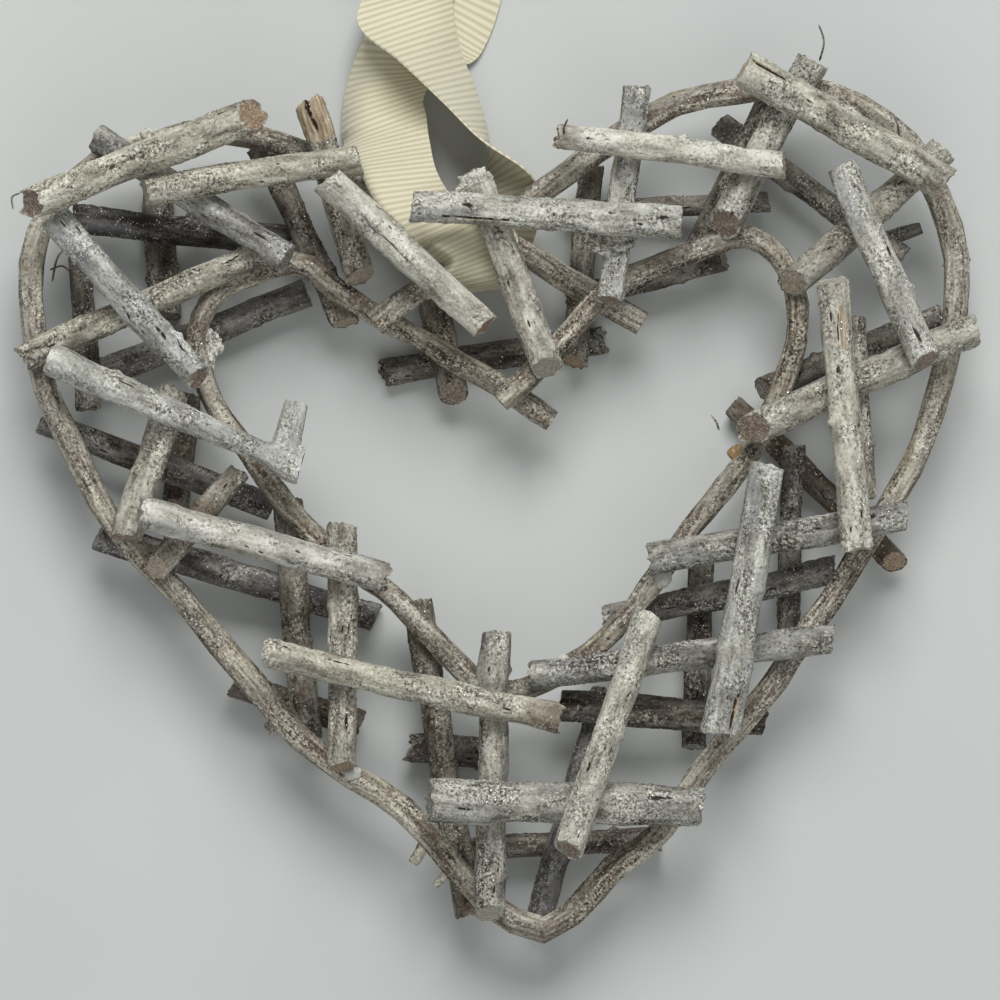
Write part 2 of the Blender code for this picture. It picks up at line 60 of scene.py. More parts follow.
def deselectAll():
    if bpy.context.object and bpy.context.object.mode != "OBJECT":
        bpy.ops.object.mode_set(mode="OBJECT")
    bpy.ops.object.select_all(action="DESELECT")


def linear(hexColour):
    # sRGB hex to the linear values that the shaders take
    parts = [int(hexColour[i:i + 2], 16) / 255 for i in (1, 3, 5)]
    return tuple(c / 12.92 if c <= 0.04045 else ((c + 0.055) / 1.055) ** 2.4 for c in parts)


def addNode(tree, kind, values=None, links=None, stops=None, **settings):
    node = tree.nodes.new("ShaderNode" + kind)
    for key, value in settings.items():
        setattr(node, key, value)
    if stops:
        elements = node.color_ramp.elements
        while len(elements) < len(stops):
            elements.new(0.5)
        for element, (place, colour) in zip(elements, stops):
            element.position = place
            element.color = (*(linear(colour) if isinstance(colour, str) else (colour,) * 3), 1)
    for key, value in (values or {}).items():
        node.inputs[key].default_value = value
    for key, source in (links or {}).items():
        # a node given without a socket stands for its first output
        socket = source.outputs[0] if isinstance(source, bpy.types.Node) else source
        tree.links.new(socket, node.inputs[key])
    return node


def newMaterial(name):
    material = bpy.data.materials.new(name)
    material.use_nodes = True
    tree = material.node_tree
    return material, tree, tree.nodes["Principled BSDF"], partial(addNode, tree)


# Materials. Bark and cut ends read the attribute "grain": millimetres along and across the piece

barkLook = {
    "front": {"ramp": ((0.06, "#3B342D"), (0.25, "#6F6A61"), (0.43, "#A5A298"), (0.60, "#CAC8BD"),
                       (0.84, "#F1EFE8")), "speck": "#35302A"},
    "shaded": {"ramp": ((0.12, "#352D28"), (0.32, "#66605A"), (0.48, "#8B8780"), (0.64, "#A9A59C"),
                        (0.90, "#D6D3CA")), "speck": "#2A2420"},
    "hoop": {"ramp": ((0.12, "#3A3029"), (0.33, "#736A60"), (0.48, "#9E978B"), (0.62, "#BFB9AD"),
                      (0.88, "#EAE7DD")), "speck": "#30261F"},
}


def barkMaterial(name, look, lengthwise, ridge):
    # willow bark under a thin sprayed whitewash with glitter strewn in while it was wet: chalky,
    # worn to brown in patches, pitted with dark lenticels, and sparkling in single points
    material, tree, shader, add = newMaterial(name)
    grain = add("Attribute", attribute_name="grain").outputs["Vector"]
    seed = add("Attribute", attribute_name="seed").outputs["Fac"]
    finish = add("SeparateColor", links={0: add("Attribute",
            attribute_name="finish").outputs["Color"]})
    tint = add("SeparateXYZ", links={0: add("Attribute", attribute_name="tint").outputs["Vector"]})
    crust = add("Attribute", attribute_name="crust").outputs["Fac"]
    coolness = add("Attribute", attribute_name="coolness").outputs["Fac"]
    drawnOut = add("Mapping", {"Scale": (lengthwise, 1, 1)}, {"Vector": grain})
    fibre = add("Mapping", {"Scale": (0.10, 1, 1)}, {"Vector": grain})

    # patches of paint 2 to 4 mm across, drawn out along the twig, over streaks of 0.7 mm
    patches = add("TexNoise", {"Scale": 0.38, "Detail": 5, "Roughness": 0.62}, {"Vector": drawnOut,
            "W": seed}, noise_dimensions="4D")
    streaks = add("TexNoise", {"Scale": 1.4, "Detail": 3, "Roughness": 0.6}, {"Vector": fibre,
            "W": seed}, noise_dimensions="4D")
    grit = add("TexNoise", {"Scale": 1.7, "Detail": 3, "Roughness": 0.72}, {"Vector": grain,
            "W": seed}, noise_dimensions="4D")
    # grit of 0.6 mm, strong where the whitewash dried as a crust and weak where it lies smooth
    gritReach = add("MapRange", {3: 0.85, 4: 2.5}, {0: crust})
    gritPart = add("Math", {1: 0.5}, {0: grit}, operation="SUBTRACT")
    streakPart = add("Math", {1: ridge}, {0: streaks}, operation="MULTIPLY")
    coverGrit = add("Math", links={0: gritPart, 1: gritReach, 2: streakPart},
            operation="MULTIPLY_ADD")
    cover = add("Math", {1: 1.45}, {0: patches, 2: coverGrit}, operation="MULTIPLY_ADD")
    lit = add("Math", {1: 0.5}, {0: tint.outputs["X"], 2: cover}, operation="MULTIPLY_ADD")
    centred = add("Math", {1: 0.555 + ridge / 2}, {0: lit}, operation="SUBTRACT")
    painted = add("ValToRGB", links={0: centred}, stops=look["ramp"])
    # the paint is a warm chalk on some twigs and a cool blue-grey on others
    wash = add("ValToRGB", links={0: coolness}, stops=((0.0, "#FFFCF0"), (1.0, "#F6F9FC")))
    paint = add("Mix", {0: 1.0}, {6: painted, 7: wash}, data_type="RGBA", blend_type="MULTIPLY")

    # grey-violet where the paint went over darker bark, patches about 3 mm
    violet = add("TexNoise", {"Scale": 0.33, "Detail": 4, "Roughness": 0.6}, {"Vector": drawnOut,
            "W": patches}, noise_dimensions="4D")
    violetMost = add("MapRange", {3: 0.15, 4: 0.6}, {0: coolness})
    violetShare = add("MapRange", {1: 0.46, 2: 0.64, 3: 0.0}, {0: violet, 4: violetMost})
    greyed = add("Mix", {7: (*linear("#87878A"), 1)}, {0: violetShare, 6: paint.outputs[2]},
            data_type="RGBA")

    # rusty brown where the twig's own bark shows
    brownNoise = add("TexNoise", {"Scale": 0.7, "Detail": 4, "Roughness": 0.65},
            {"Vector": drawnOut, "W": grit}, noise_dimensions="4D")
    brownLift = add("Math", {1: 0.5}, {0: tint.outputs["Y"], 2: brownNoise},
            operation="MULTIPLY_ADD")
    brownAll = add("Math", {1: 0.26}, {0: finish.outputs["Blue"], 2: brownLift},
            operation="MULTIPLY_ADD")
    brownShare = add("MapRange", {1: 0.60, 2: 0.86, 3: 0.0, 4: 0.72}, {0: brownAll})
    browned = add("Mix", {7: (*linear("#6B5848"), 1)}, {0: brownShare, 6: greyed.outputs[2]},
            data_type="RGBA")

    # dark lenticels and chips, 0.3 to 0.8 mm
    specks = add("TexNoise", {"Scale": 1.7, "Detail": 4, "Roughness": 0.7},
            {"Vector": add("Mapping", {"Scale": (0.7, 1, 1), "Location": (31, 7, 3)},
            {"Vector": grain}), "W": seed}, noise_dimensions="4D")
    speckLift = add("Math", {1: 0.10}, {0: tint.outputs["Z"], 2: specks}, operation="MULTIPLY_ADD")
    speckShare = add("MapRange", {1: 0.62, 2: 0.72, 3: 0.0, 4: 0.9}, {0: speckLift})
    speckled = add("Mix", {7: (*linear(look["speck"]), 1)}, {0: speckShare, 6: browned.outputs[2]},
            data_type="RGBA")

    # bare wood and open cracks, where the piece's own marks say so
    bareTone = add("ValToRGB", links={0: streaks}, stops=((0.34, "#7C6752"), (0.5, "#AC9A80"),
            (0.66, "#D3C8B0")))
    bareEdge = add("Math", {1: 0.35}, {0: grit, 2: finish.outputs["Red"]}, operation="MULTIPLY_ADD")
    bareShare = add("MapRange", {1: 0.5, 2: 0.72}, {0: bareEdge})
    bared = add("Mix", links={0: bareShare, 6: speckled.outputs[2], 7: bareTone}, data_type="RGBA")
    crackEdge = add("Math", {1: 0.4}, {0: grit, 2: finish.outputs["Green"]},
            operation="MULTIPLY_ADD")
    crackShare = add("MapRange", {1: 0.48, 2: 0.72, 3: 0.0, 4: 0.95}, {0: crackEdge})
    cracked = add("Mix", {7: (*linear("#241D19"), 1)}, {0: crackShare, 6: bared.outputs[2]},
            data_type="RGBA")

    # glitter flakes of about 0.3 mm, lying thickest in the crust
    flakes = add("TexVoronoi", {"Scale": 2.3}, {"Vector": grain, "W": seed},
            voronoi_dimensions="4D")
    flakePick = add("SeparateColor", links={0: flakes.outputs["Color"]})
    strewn = add("MapRange", {1: 0.2, 2: 0.9, 3: 0.05, 4: 0.34}, {0: crust})
    chosen = add("Math", links={0: flakePick, 1: strewn}, operation="LESS_THAN")
    inside = add("Math", {1: 0.36}, {0: flakes.outputs["Distance"]}, operation="LESS_THAN")
    flake = add("Math", links={0: chosen, 1: inside}, operation="MULTIPLY")
    flakeTone = add("ValToRGB", links={0: flakePick.outputs[1]}, stops=((0.0, "#C9C7C2"), (0.5,
            "#F1F0EC"), (1.0, "#FFFFFF")))
    colour = add("Mix", links={0: flake, 6: cracked.outputs[2], 7: flakeTone}, data_type="RGBA")

    # relief: fibres, grit and pits, a tenth to a third of a millimetre
    fibreBump = add("Bump", {"Strength": 0.7, "Distance": 0.25 * mm}, {"Height": streaks})
    gritBump = add("Bump", {"Strength": 0.8, "Distance": 0.30 * mm}, {"Height": grit,
            "Normal": fibreBump})
    pitBump = add("Bump", {"Strength": 0.8, "Distance": 0.12 * mm}, {"Height": speckShare,
            "Normal": gritBump}, invert=True)
    tip = add("VectorMath", {1: (0.5, 0.5, 0.5)}, {0: flakes.outputs["Color"]},
            operation="SUBTRACT")
    tipped = add("VectorMath", {1: (1.1, 1.1, 1.1)}, {0: tip, 2: pitBump}, operation="MULTIPLY_ADD")
    facet = add("VectorMath", links={0: tipped}, operation="NORMALIZE")
    normal = add("Mix", links={0: flake, 4: pitBump, 5: facet}, data_type="VECTOR")
    metal = add("Math", {1: 0.3}, {0: flake}, operation="MULTIPLY")
    rough = add("MapRange", {3: 0.86, 4: 0.28}, {0: flake})
    for socket, source in (("Base Color", colour.outputs[2]), ("Normal", normal.outputs[1]),
                           ("Metallic", metal.outputs[0]), ("Roughness", rough.outputs[0])):
        tree.links.new(source, shader.inputs[socket])
    shader.inputs["IOR"].default_value = 1.45
    shader.inputs["Specular IOR Level"].default_value = 0.35
    return material


def sawnEndMaterial():
    # end grain cut by shears: growth rings about 0.5 mm apart, a dark pith, and stray whitewash
    material, tree, shader, add = newMaterial("sheared_end_grain")
    grain = add("Attribute", attribute_name="grain").outputs["Vector"]
    seed = add("Attribute", attribute_name="seed").outputs["Fac"]
    stain = add("Attribute", attribute_name="endStain").outputs["Color"]
    flat = add("VectorMath", {1: (0, 1, 1)}, {0: grain}, operation="MULTIPLY")
    wobble = add("TexNoise", {"Scale": 0.55, "Detail": 3}, {"Vector": flat, "W": seed},
            noise_dimensions="4D")
    reach = add("VectorMath", links={0: flat}, operation="LENGTH")
    bent = add("Math", {1: 1.3}, {0: wobble, 2: reach.outputs["Value"]}, operation="MULTIPLY_ADD")
    turns = add("Math", {1: 2 * math.pi / 0.5}, {0: bent}, operation="MULTIPLY")
    ring = add("Math", links={0: turns}, operation="SINE")
    ringShade = add("MapRange", {1: -1.0, 2: 1.0, 3: 0.72, 4: 1.08}, {0: ring})
    speck = add("TexNoise", {"Scale": 2.4, "Detail": 3, "Roughness": 0.7}, {"Vector": grain,
            "W": seed}, noise_dimensions="4D")
    shade = add("MapRange", {1: 0.3, 2: 0.7, 3: 0.6, 4: 1.25}, {0: speck})
    both = add("Math", links={0: ringShade, 1: shade}, operation="MULTIPLY")
    wood = add("VectorMath", links={0: stain, 1: both}, operation="MULTIPLY")
    dust = add("MapRange", {1: 0.47, 2: 0.66, 3: 0.0, 4: 0.7}, {0: speck})
    dusted = add("Mix", {7: (*linear("#C9C4B6"), 1)}, {0: dust, 6: wood}, data_type="RGBA")
    pith = add("MapRange", {1: 0.75, 2: 0.45, 3: 0.0, 4: 0.8}, {0: bent})
    pithed = add("Mix", {7: (*linear("#3B2A20"), 1)}, {0: pith, 6: dusted.outputs[2]},
            data_type="RGBA")
    cut = add("Bump", {"Strength": 0.6, "Distance": 0.15 * mm}, {"Height": both})
    tree.links.new(pithed.outputs[2], shader.inputs["Base Color"])
    tree.links.new(cut.outputs[0], shader.inputs["Normal"])
    shader.inputs["Roughness"].default_value = 0.8
    return material


def ribbonMaterial():
    # polyester grosgrain: thick weft ribs under a fine warp, a dull satin with a soft sheen; the
    # colour carries painted shade between the ribs and painted light on their crests
    material, tree, shader, add = newMaterial("woven_grosgrain")
    weave = add("Attribute", attribute_name="weave").outputs["Vector"]
    parts = add("SeparateXYZ", links={0: weave})
    ribs = add("Math", {1: 2 * math.pi / ribbonLook["ribPitch"]}, {0: parts.outputs["Y"]},
            operation="MULTIPLY")
    # the rib wave, in step with the ribs' relief: painted shade in the valleys, painted light on
    # the crests
    paintedRibShade = add("Math", links={0: ribs}, operation="COSINE")
    # warp ends every 0.4 mm, which is as fine as the render can show
    ends = add("Math", {1: 2 * math.pi / 0.4}, {0: parts.outputs["X"]}, operation="MULTIPLY")
    shifted = add("Math", {1: 0.5}, {0: ribs, 2: ends}, operation="MULTIPLY_ADD")
    thread = add("Math", links={0: shifted}, operation="SINE")
    uneven = add("TexNoise", {"Scale": 0.5, "Detail": 4, "Roughness": 0.7},
            {"Vector": add("Mapping", {"Scale": (0.35, 1.6, 1)}, {"Vector": weave})})
    # colour from the threads, the rib wave (painted shade between ribs, painted light on crests)
    # and an uneven tone
    tone = add("Math", {1: 0.16}, {0: thread, 2: paintedRibShade}, operation="MULTIPLY_ADD")
    toneWithRibShade = add("Math", {1: 0.8}, {0: uneven, 2: tone}, operation="MULTIPLY_ADD")
    share = add("MapRange", {1: -0.7, 2: 1.5}, {0: toneWithRibShade})
    colour = add("ValToRGB", links={0: share}, stops=((0.0, "#CBC2A0"), (0.4, "#DFD8BC"), (1.0,
            "#ECE6CE")))
    bump = add("Bump", {"Strength": 0.45, "Distance": 0.1 * mm}, {"Height": thread})
    tree.links.new(colour.outputs[0], shader.inputs["Base Color"])
    tree.links.new(bump.outputs[0], shader.inputs["Normal"])
    shader.inputs["Roughness"].default_value = 0.62
    shader.inputs["IOR"].default_value = 1.5
    shader.inputs["Sheen Weight"].default_value = 0.25
    shader.inputs["Sheen Roughness"].default_value = 0.4
    return material


# Blanks: one round bar for all twigs, one for short stubs, one for fibres and one for each hoop

barAttributes = (("grain", "FLOAT_VECTOR"), ("seed", "FLOAT"), ("finish", "FLOAT_COLOR"),
                 ("tint", "FLOAT_VECTOR"), ("crust", "FLOAT"), ("coolness", "FLOAT"),
                 ("endStain", "FLOAT_COLOR"))


def roundBlank(name, form, rings=None):
    # bar of radius 1 and length 1 along Z, with rings along it and inset, poked ends
    deselectAll()
    bpy.ops.mesh.primitive_cylinder_add(vertices=form["sides"], radius=1, depth=1,
            end_fill_type="NGON")
    bar = bpy.context.object
    bar.name = name
    bpy.ops.object.mode_set(mode="EDIT")
    bpy.ops.mesh.select_mode(type="EDGE")
    bpy.ops.mesh.select_all(action="DESELECT")
    bpy.ops.object.mode_set(mode="OBJECT")
    for edge in bar.data.edges:
        low, high = (bar.data.vertices[v].co.z for v in edge.vertices)
        edge.select = abs(low - high) > 0.5
    bpy.ops.object.mode_set(mode="EDIT")
    bpy.ops.mesh.subdivide(number_cuts=(rings or form["rings"]) - 1)
    bpy.ops.mesh.select_mode(type="FACE")
    bpy.ops.mesh.select_all(action="DESELECT")
    bpy.ops.object.mode_set(mode="OBJECT")
    for face in bar.data.polygons:
        face.select = abs(face.normal.z) > 0.9
    bpy.ops.object.mode_set(mode="EDIT")
    for inset in form["insets"]:
        bpy.ops.mesh.inset(thickness=inset)
    bpy.ops.mesh.poke()
    bpy.ops.object.mode_set(mode="OBJECT")
    for attribute, kind in barAttributes:
        bar.data.attributes.new(attribute, kind, "POINT")
    return bar


def barGrid(mesh):
    # share along, angle round and share of the radius for every point of a blank
    places = np.empty(len(mesh.vertices) * 3)
    mesh.vertices.foreach_get("co", places)
    places = places.reshape(-1, 3)
    reach = np.hypot(places[:, 0], places[:, 1])
    return places[:, 2] + 0.5, np.arctan2(places[:, 1], places[:, 0]), reach


def smooth(value):
    value = np.clip(value, 0, 1)
    return value * value * (3 - 2 * value)


def readAxis(node):
    # the straight line of a packed twig, from its left or upper end, with both cut planes
    mesh = node.data
    places = np.array([v.co for v in mesh.vertices])
    middle = places.mean(axis=0)
    axis = np.linalg.svd(places - middle)[2][0]
    across, down = axis[0], -axis[1]
    if (across if abs(across) >= abs(down) else down) < 0:
        axis = -axis
    cuts = []
    for side in (-1, 1):
        centre, normal, area = np.zeros(3), np.zeros(3), 0.0
        for face in mesh.polygons:
            facing = float(np.dot(face.normal, axis))
            beyond = float(np.dot(np.array(face.center) - middle, axis))
            if facing * side > 0.85 and beyond * side > 0:
                centre += np.array(face.center) * face.area
                normal += np.array(face.normal) * face.area
                area += face.area
        cuts.append((centre / area, normal / np.linalg.norm(normal)))
    return cuts


def readRadii(node, start, axis, upward, sideways, length, stations=9, rays=16):
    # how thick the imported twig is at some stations, and how far its middle bows off the line
    tree = BVHTree.FromPolygons([v.co for v in node.data.vertices],
                                [tuple(p.vertices) for p in node.data.polygons])
    rows = []
    for share in np.linspace(0.04, 0.96, stations):
        origin = Vector(start + axis * length * share)
        found = []
        for k in range(rays):
            angle = 2 * math.pi * k / rays
            aim = upward * math.cos(angle) + sideways * math.sin(angle)
            hit = tree.ray_cast(origin, Vector(aim))
            found.append((angle, hit[3] if hit[3] else 0.0))
        typical = float(np.median([r for _, r in found]))
        held = [(a, min(max(r, typical * 0.85), typical * 1.15)) for a, r in found]
        rise = 2 * sum(r * math.cos(a) for a, r in held) / rays
        drift = 2 * sum(r * math.sin(a) for a, r in held) / rays
        rows.append((share, typical, rise, drift))
    return np.array(rows)


endStains = {"brown": "#8A7666", "tan": "#B2A38E", "orange": "#9F8466", "pale": "#B4AE9F",
             "grey": "#8A857C", "dark": "#4F443D"}

# Twigs: how white, how brown and how chipped each is, from 0 to 1, the two cut ends from the left
# or upper one, then marks. A mark is its kind, share along, degrees round from the top towards
# the upper or right side, length and width in millimetres
twigLooks = {
    "top_01": (0.72, 0.25, 0.30, "pale", "pale", ("crack", 0.30, 20, 4, 0.4)),
    "top_02": (0.72, 0.05, 0.35, "pale", "brown", ("crack", 0.72, 10, 9, 0.9),
        ("crack", 0.55, -40, 7, 0.6), ("crack", 0.82, 40, 6, 0.7)),
    "top_03": (0.66, 0.12, 0.30, "brown", "orange", ("knot", 0.06, -20, 5, 5),
        ("crack", 0.42, 30, 3, 0.6), ("rust", 0.95, 0, 5, 6)),
    "top_04": (0.82, 0.05, 0.25, "pale", "pale", ("knot", 0.90, 30, 7, 6),
        ("crack", 0.30, 35, 6, 0.5)),
    "top_05": (0.76, 0.00, 0.12, "pale", "brown", ("rust", 0.98, 0, 3, 6)),
    "top_06": (0.74, 0.22, 0.40, "pale", "brown", ("rust", 0.97, 0, 6, 6),
        ("crack", 0.25, 30, 7, 0.5)),
    "top_07": (0.50, 0.12, 0.42, "grey", "grey", ("crack", 0.82, 20, 8, 1.0),
        ("crack", 0.12, -20, 5, 0.8)),
    "top_08": (0.80, 0.10, 0.55, "pale", "brown", ("crack", 0.66, -30, 4, 1.0),
        ("crack", 0.35, 30, 4, 0.8)),
    "top_09": (0.64, 0.00, 0.35, "pale", "pale", ("split", 0.90, 30, 12, 0.9),
        ("crack", 0.45, -35, 7, 0.5)),
    "top_10": (0.80, 0.15, 0.40, "pale", "pale", ("strip", 0.18, 20, 14, 1.3),
        ("crack", 0.33, -10, 3, 0.9)),
    "top_11": (0.66, 0.12, 0.25, "tan", "pale", ("knot", 0.5, 60, 5, 4),
        ("split", 0.10, 35, 16, 0.6)),
    "top_12": (0.72, 0.02, 0.35, "pale", "brown", ("crack", 0.86, 10, 6, 1.1),
        ("crack", 0.45, 50, 9, 0.5)),
    "top_13": (0.96, 0.10, 0.25, "brown", "pale", ("rust", 0.03, 0, 4, 6)),
    "top_14": (0.92, 0.15, 0.25, "pale", "orange", ("ledge", 0.42, -12, 40, 1.6),
        ("knot", 0.5, -30, 5, 3)),
    "top_15": (0.76, 0.10, 0.55, "pale", "brown", ("crack", 0.20, 10, 4, 1.1),
        ("crack", 0.92, 10, 5, 1.0), ("split", 0.28, -40, 20, 0.5)),
    "front_01": (0.45, 0.20, 0.50, "grey", "brown"),
    "front_02": (0.48, 0.20, 0.35, "pale", "pale", ("crack", 0.88, 20, 4, 0.8)),
    "front_03": (0.66, 0.15, 0.35, "pale", "brown", ("rust", 1.0, 0, 3, 6)),
    "front_04": (0.48, 0.35, 0.50, "brown", "tan", ("rust", 0.45, 0, 6, 6)),
    "front_05": (0.72, 0.30, 0.60, "tan", "orange", ("crack", 0.80, 20, 6, 1.0)),
    "front_06": (0.52, 0.15, 0.50, "pale", "pale", ("knot", 0.17, 20, 4, 4),
        ("crack", 0.90, 10, 4, 1.2), ("crack", 0.55, -30, 8, 0.5)),
    "front_07": (0.48, 0.18, 0.50, "tan", "brown", ("crack", 0.30, 10, 6, 0.8)),
    "front_08": (0.40, 0.10, 0.45, "grey", "grey", ("crack", 0.85, 20, 4, 0.9)),
    "front_09": (0.60, 0.15, 0.35, "brown", "orange", ("rust", 0.04, 0, 3, 6)),
    "front_10": (0.58, 0.25, 0.45, "tan", "pale", ("crack", 0.75, 10, 6, 0.7)),
    "front_11": (0.60, 0.15, 0.45, "pale", "brown", ("split", 0.92, 10, 8, 0.7)),
    "front_12": (0.66, 0.15, 0.45, "grey", "brown", ("crack", 0.7, 10, 9, 0.6)),
    "front_13": (0.72, 0.15, 0.35, "grey", "pale"),
    "front_14": (0.42, 0.25, 0.35, "tan", "tan", ("bare", 0.10, 0, 14, 9),
        ("split", 0.08, -12, 12, 1.4)),
    "front_15": (0.52, 0.15, 0.50, "grey", "grey", ("crack", 0.85, 10, 6, 0.7)),
    "back_01": (0.50, 0.22, 0.50, "grey", "grey"),
    "back_02": (0.44, 0.25, 0.50, "grey", "brown"),
    "back_03": (0.22, 0.20, 0.60, "grey", "dark"),
    "back_04": (0.42, 0.20, 0.45, "brown", "grey"),
    "back_05": (0.38, 0.20, 0.40, "grey", "grey"),
    "back_06": (0.38, 0.30, 0.45, "brown", "tan"),
    "back_07": (0.06, 0.00, 0.30, "dark", "dark"),
    "back_08": (0.40, 0.25, 0.45, "grey", "grey"),
    "back_09": (0.58, 0.20, 0.50, "grey", "grey"),
    "back_10": (0.38, 0.15, 0.40, "brown", "grey"),
    "back_11": (0.34, 0.15, 0.50, "grey", "grey"),
    "back_12": (0.28, 0.45, 0.50, "brown", "grey"),
    "back_13": (0.22, 0.25, 0.60, "grey", "dark"),
    "back_14": (0.36, 0.05, 0.50, "dark", "grey"),
    "back_15": (0.36, 0.35, 0.45, "grey", "brown"),
    "back_16": (0.14, 0.20, 0.50, "grey", "grey"),
    "back_17": (0.32, 0.20, 0.50, "grey", "grey"),
    "back_18": (0.36, 0.20, 0.45, "grey", "tan"),
    "back_19": (0.30, 0.50, 0.50, "brown", "orange"),
    "back_20": (0.50, 0.15, 0.35, "dark", "grey"),
    "back_21": (0.50, 0.20, 0.40, "grey", "brown"),
    "back_22": (0.44, 0.30, 0.45, "grey", "orange"),
    "back_23": (0.55, 0.25, 0.35, "grey", "grey"),
    "back_24": (0.36, 0.25, 0.50, "grey", "grey"),
    "back_25": (0.32, 0.50, 0.55, "brown", "brown"),
    "back_26": (0.38, 0.25, 0.45, "grey", "grey"),
    "back_27": (0.30, 0.20, 0.55, "dark", "grey"),
}

# how far some cuts are turned to face up, in degrees: left or upper end, right or lower end
cutLeans = {
    "front_04": (0, 42), "front_05": (0, 20), "front_06": (0, 22),
    "front_09": (40, 0), "front_12": (0, 18), "front_13": (10, 26),
    "front_14": (0, 34), "front_10": (38, 0), "front_11": (0, 34),
    "top_02": (0, 16), "top_03": (38, 30),
    "top_08": (0, 22), "top_11": (8, 10), "top_12": (0, 24),
    "top_14": (0, 24), "top_01": (15, 0), "back_18": (30, 0),
    "back_19": (0, 36), "back_21": (0, 34), "back_22": (0, 28),
    "back_25": (0, 20), "back_05": (0, 20), "back_06": (0, 24),
}

# how far some ends are frayed, in millimetres: left or upper end, right or lower end
frayedEnds = {
    "top_03": (0.9, 0.5), "top_05": (0.4, 1.1), "top_13": (0.8, 0.4),
    "top_06": (0.3, 0.8), "top_07": (0.5, 0.8), "front_02": (0.9, 0.3),
    "front_08": (0.7, 0.4), "front_10": (0.3, 0.7), "front_07": (0.7, 0.6),
    "back_22": (0.8, 0.3), "back_02": (0.8, 0.5), "back_13": (1.4, 0.5),
    "back_27": (1.0, 1.0), "front_14": (0.9, 0.3),
}

# how cool the whitewash looks, from 0, chalky and warm, to 1, blue-grey; the rest are plain
coolTwigs = {
    "top_01": 0.15, "top_02": 0.95, "top_03": 0.1, "top_04": 0.85,
    "top_05": 0.6, "top_06": 0.15, "top_07": 0.7, "top_08": 0.35,
    "top_09": 0.85, "top_10": 0.25, "top_11": 0.25, "top_12": 0.7,
    "top_13": 0.3, "top_14": 0.35, "top_15": 0.65, "front_02": 0.15,
    "front_06": 0.5, "front_07": 0.85, "front_08": 0.8, "front_11": 0.5,
    "front_12": 0.85, "front_15": 0.9, "back_04": 0.75, "back_07": 1.0,
    "back_09": 0.8, "back_10": 0.7, "back_11": 0.8, "back_14": 0.9,
    "back_01": 0.1, "back_02": 0.0, "back_21": 0.1,
}

plainCoolness = 0.3

# torn edges: how far in millimetres, over what share of the length, how fine and how strong
torns = {"plain": 0.3, "reach": 0.03, "grain": 2.4, "contrast": 2.2}

twigForm = {"sides": 52, "rings": 110, "insets": (0.15, 0.24, 0.32), "lump": 0.28, "ripple": 0.09,
            "grit": 0.05, "crust": 0.17, "outOfRound": 0.035, "bend": 0.45, "swell": 0.07}


def markTwig(marks, along, round_, radius, length, relief, finish):
    # opens cracks, lifts knots and lays wood bare, in millimetres along and round the twig
    for kind, share, degrees, reach, width in marks:
        wander = np.array([noise.noise((a / 2.5, share * 9, degrees)) for a in along])
        ragged = np.array([0.55 + 0.9 * noise.noise((a / 1.1, 5 + share * 9,
                degrees)) for a in along])
        apart = (round_ - math.radians(degrees) + math.pi) % (2 * math.pi) - math.pi
        across = apart * radius + wander * min(0.5, width)
        lengthwise = smooth(1.25 * (1 - np.abs(along - share * length) / (reach / 2)))
        slit = width * (0.75 if kind in ("crack", "split") else 1) * (
            ragged if kind in ("crack", "split") else 1)
        inside = smooth(1 - np.abs(across) / np.maximum(slit, 0.15)) * lengthwise
        if kind == "crack":
            relief -= 0.34 * inside
            finish[:, 1] += inside
        if kind == "split":
            relief -= 0.9 * inside
            finish[:, 1] += 1.3 * inside
            finish[:, 0] += 0.5 * smooth(1.6 - np.abs(across) / width) * lengthwise
        if kind == "strip":
            relief -= 0.28 * inside
            finish[:, 0] += 1.1 * inside
            finish[:, 1] += 0.8 * smooth(1 - np.abs(across + width * 0.9) / 0.35) * lengthwise
        if kind == "ledge":
            # a torn ridge: the bark stands proud on one side of a lengthwise line
            step = smooth(across / 0.5 + 0.5) - smooth((across - width) / 2 + 0.5)
            relief += 0.38 * step * lengthwise
            finish[:, 1] += 0.55 * np.exp(-((across + 0.25) / 0.3) ** 2) * lengthwise
        if kind == "bare":
            finish[:, 0] += 1.2 * inside
        if kind == "joint":
            # a bud scar: a low ring round the twig with the bud's stump on one side
            ring = np.exp(-((along - share * length) / 0.8) ** 2)
            relief += 0.16 * ring * (1 + np.cos(apart)) + 0.35 * ring * np.exp(-(across / 0.9) ** 2)
            finish[:, 1] += 0.35 * np.exp(-((along - share * length - 0.9) / 0.35) ** 2) * smooth(
                1 - np.abs(across) / 1.6)
        if kind == "rust":
            finish[:, 2] += 1.3 * np.exp(-np.abs(along - share * length) / (reach / 2))
        if kind == "knot":
            relief += 0.55 * inside
            finish[:, 1] += 0.5 * smooth(1 - np.abs(across) / 0.7) * smooth(
                1 - np.abs(along - share * length) / 0.9)


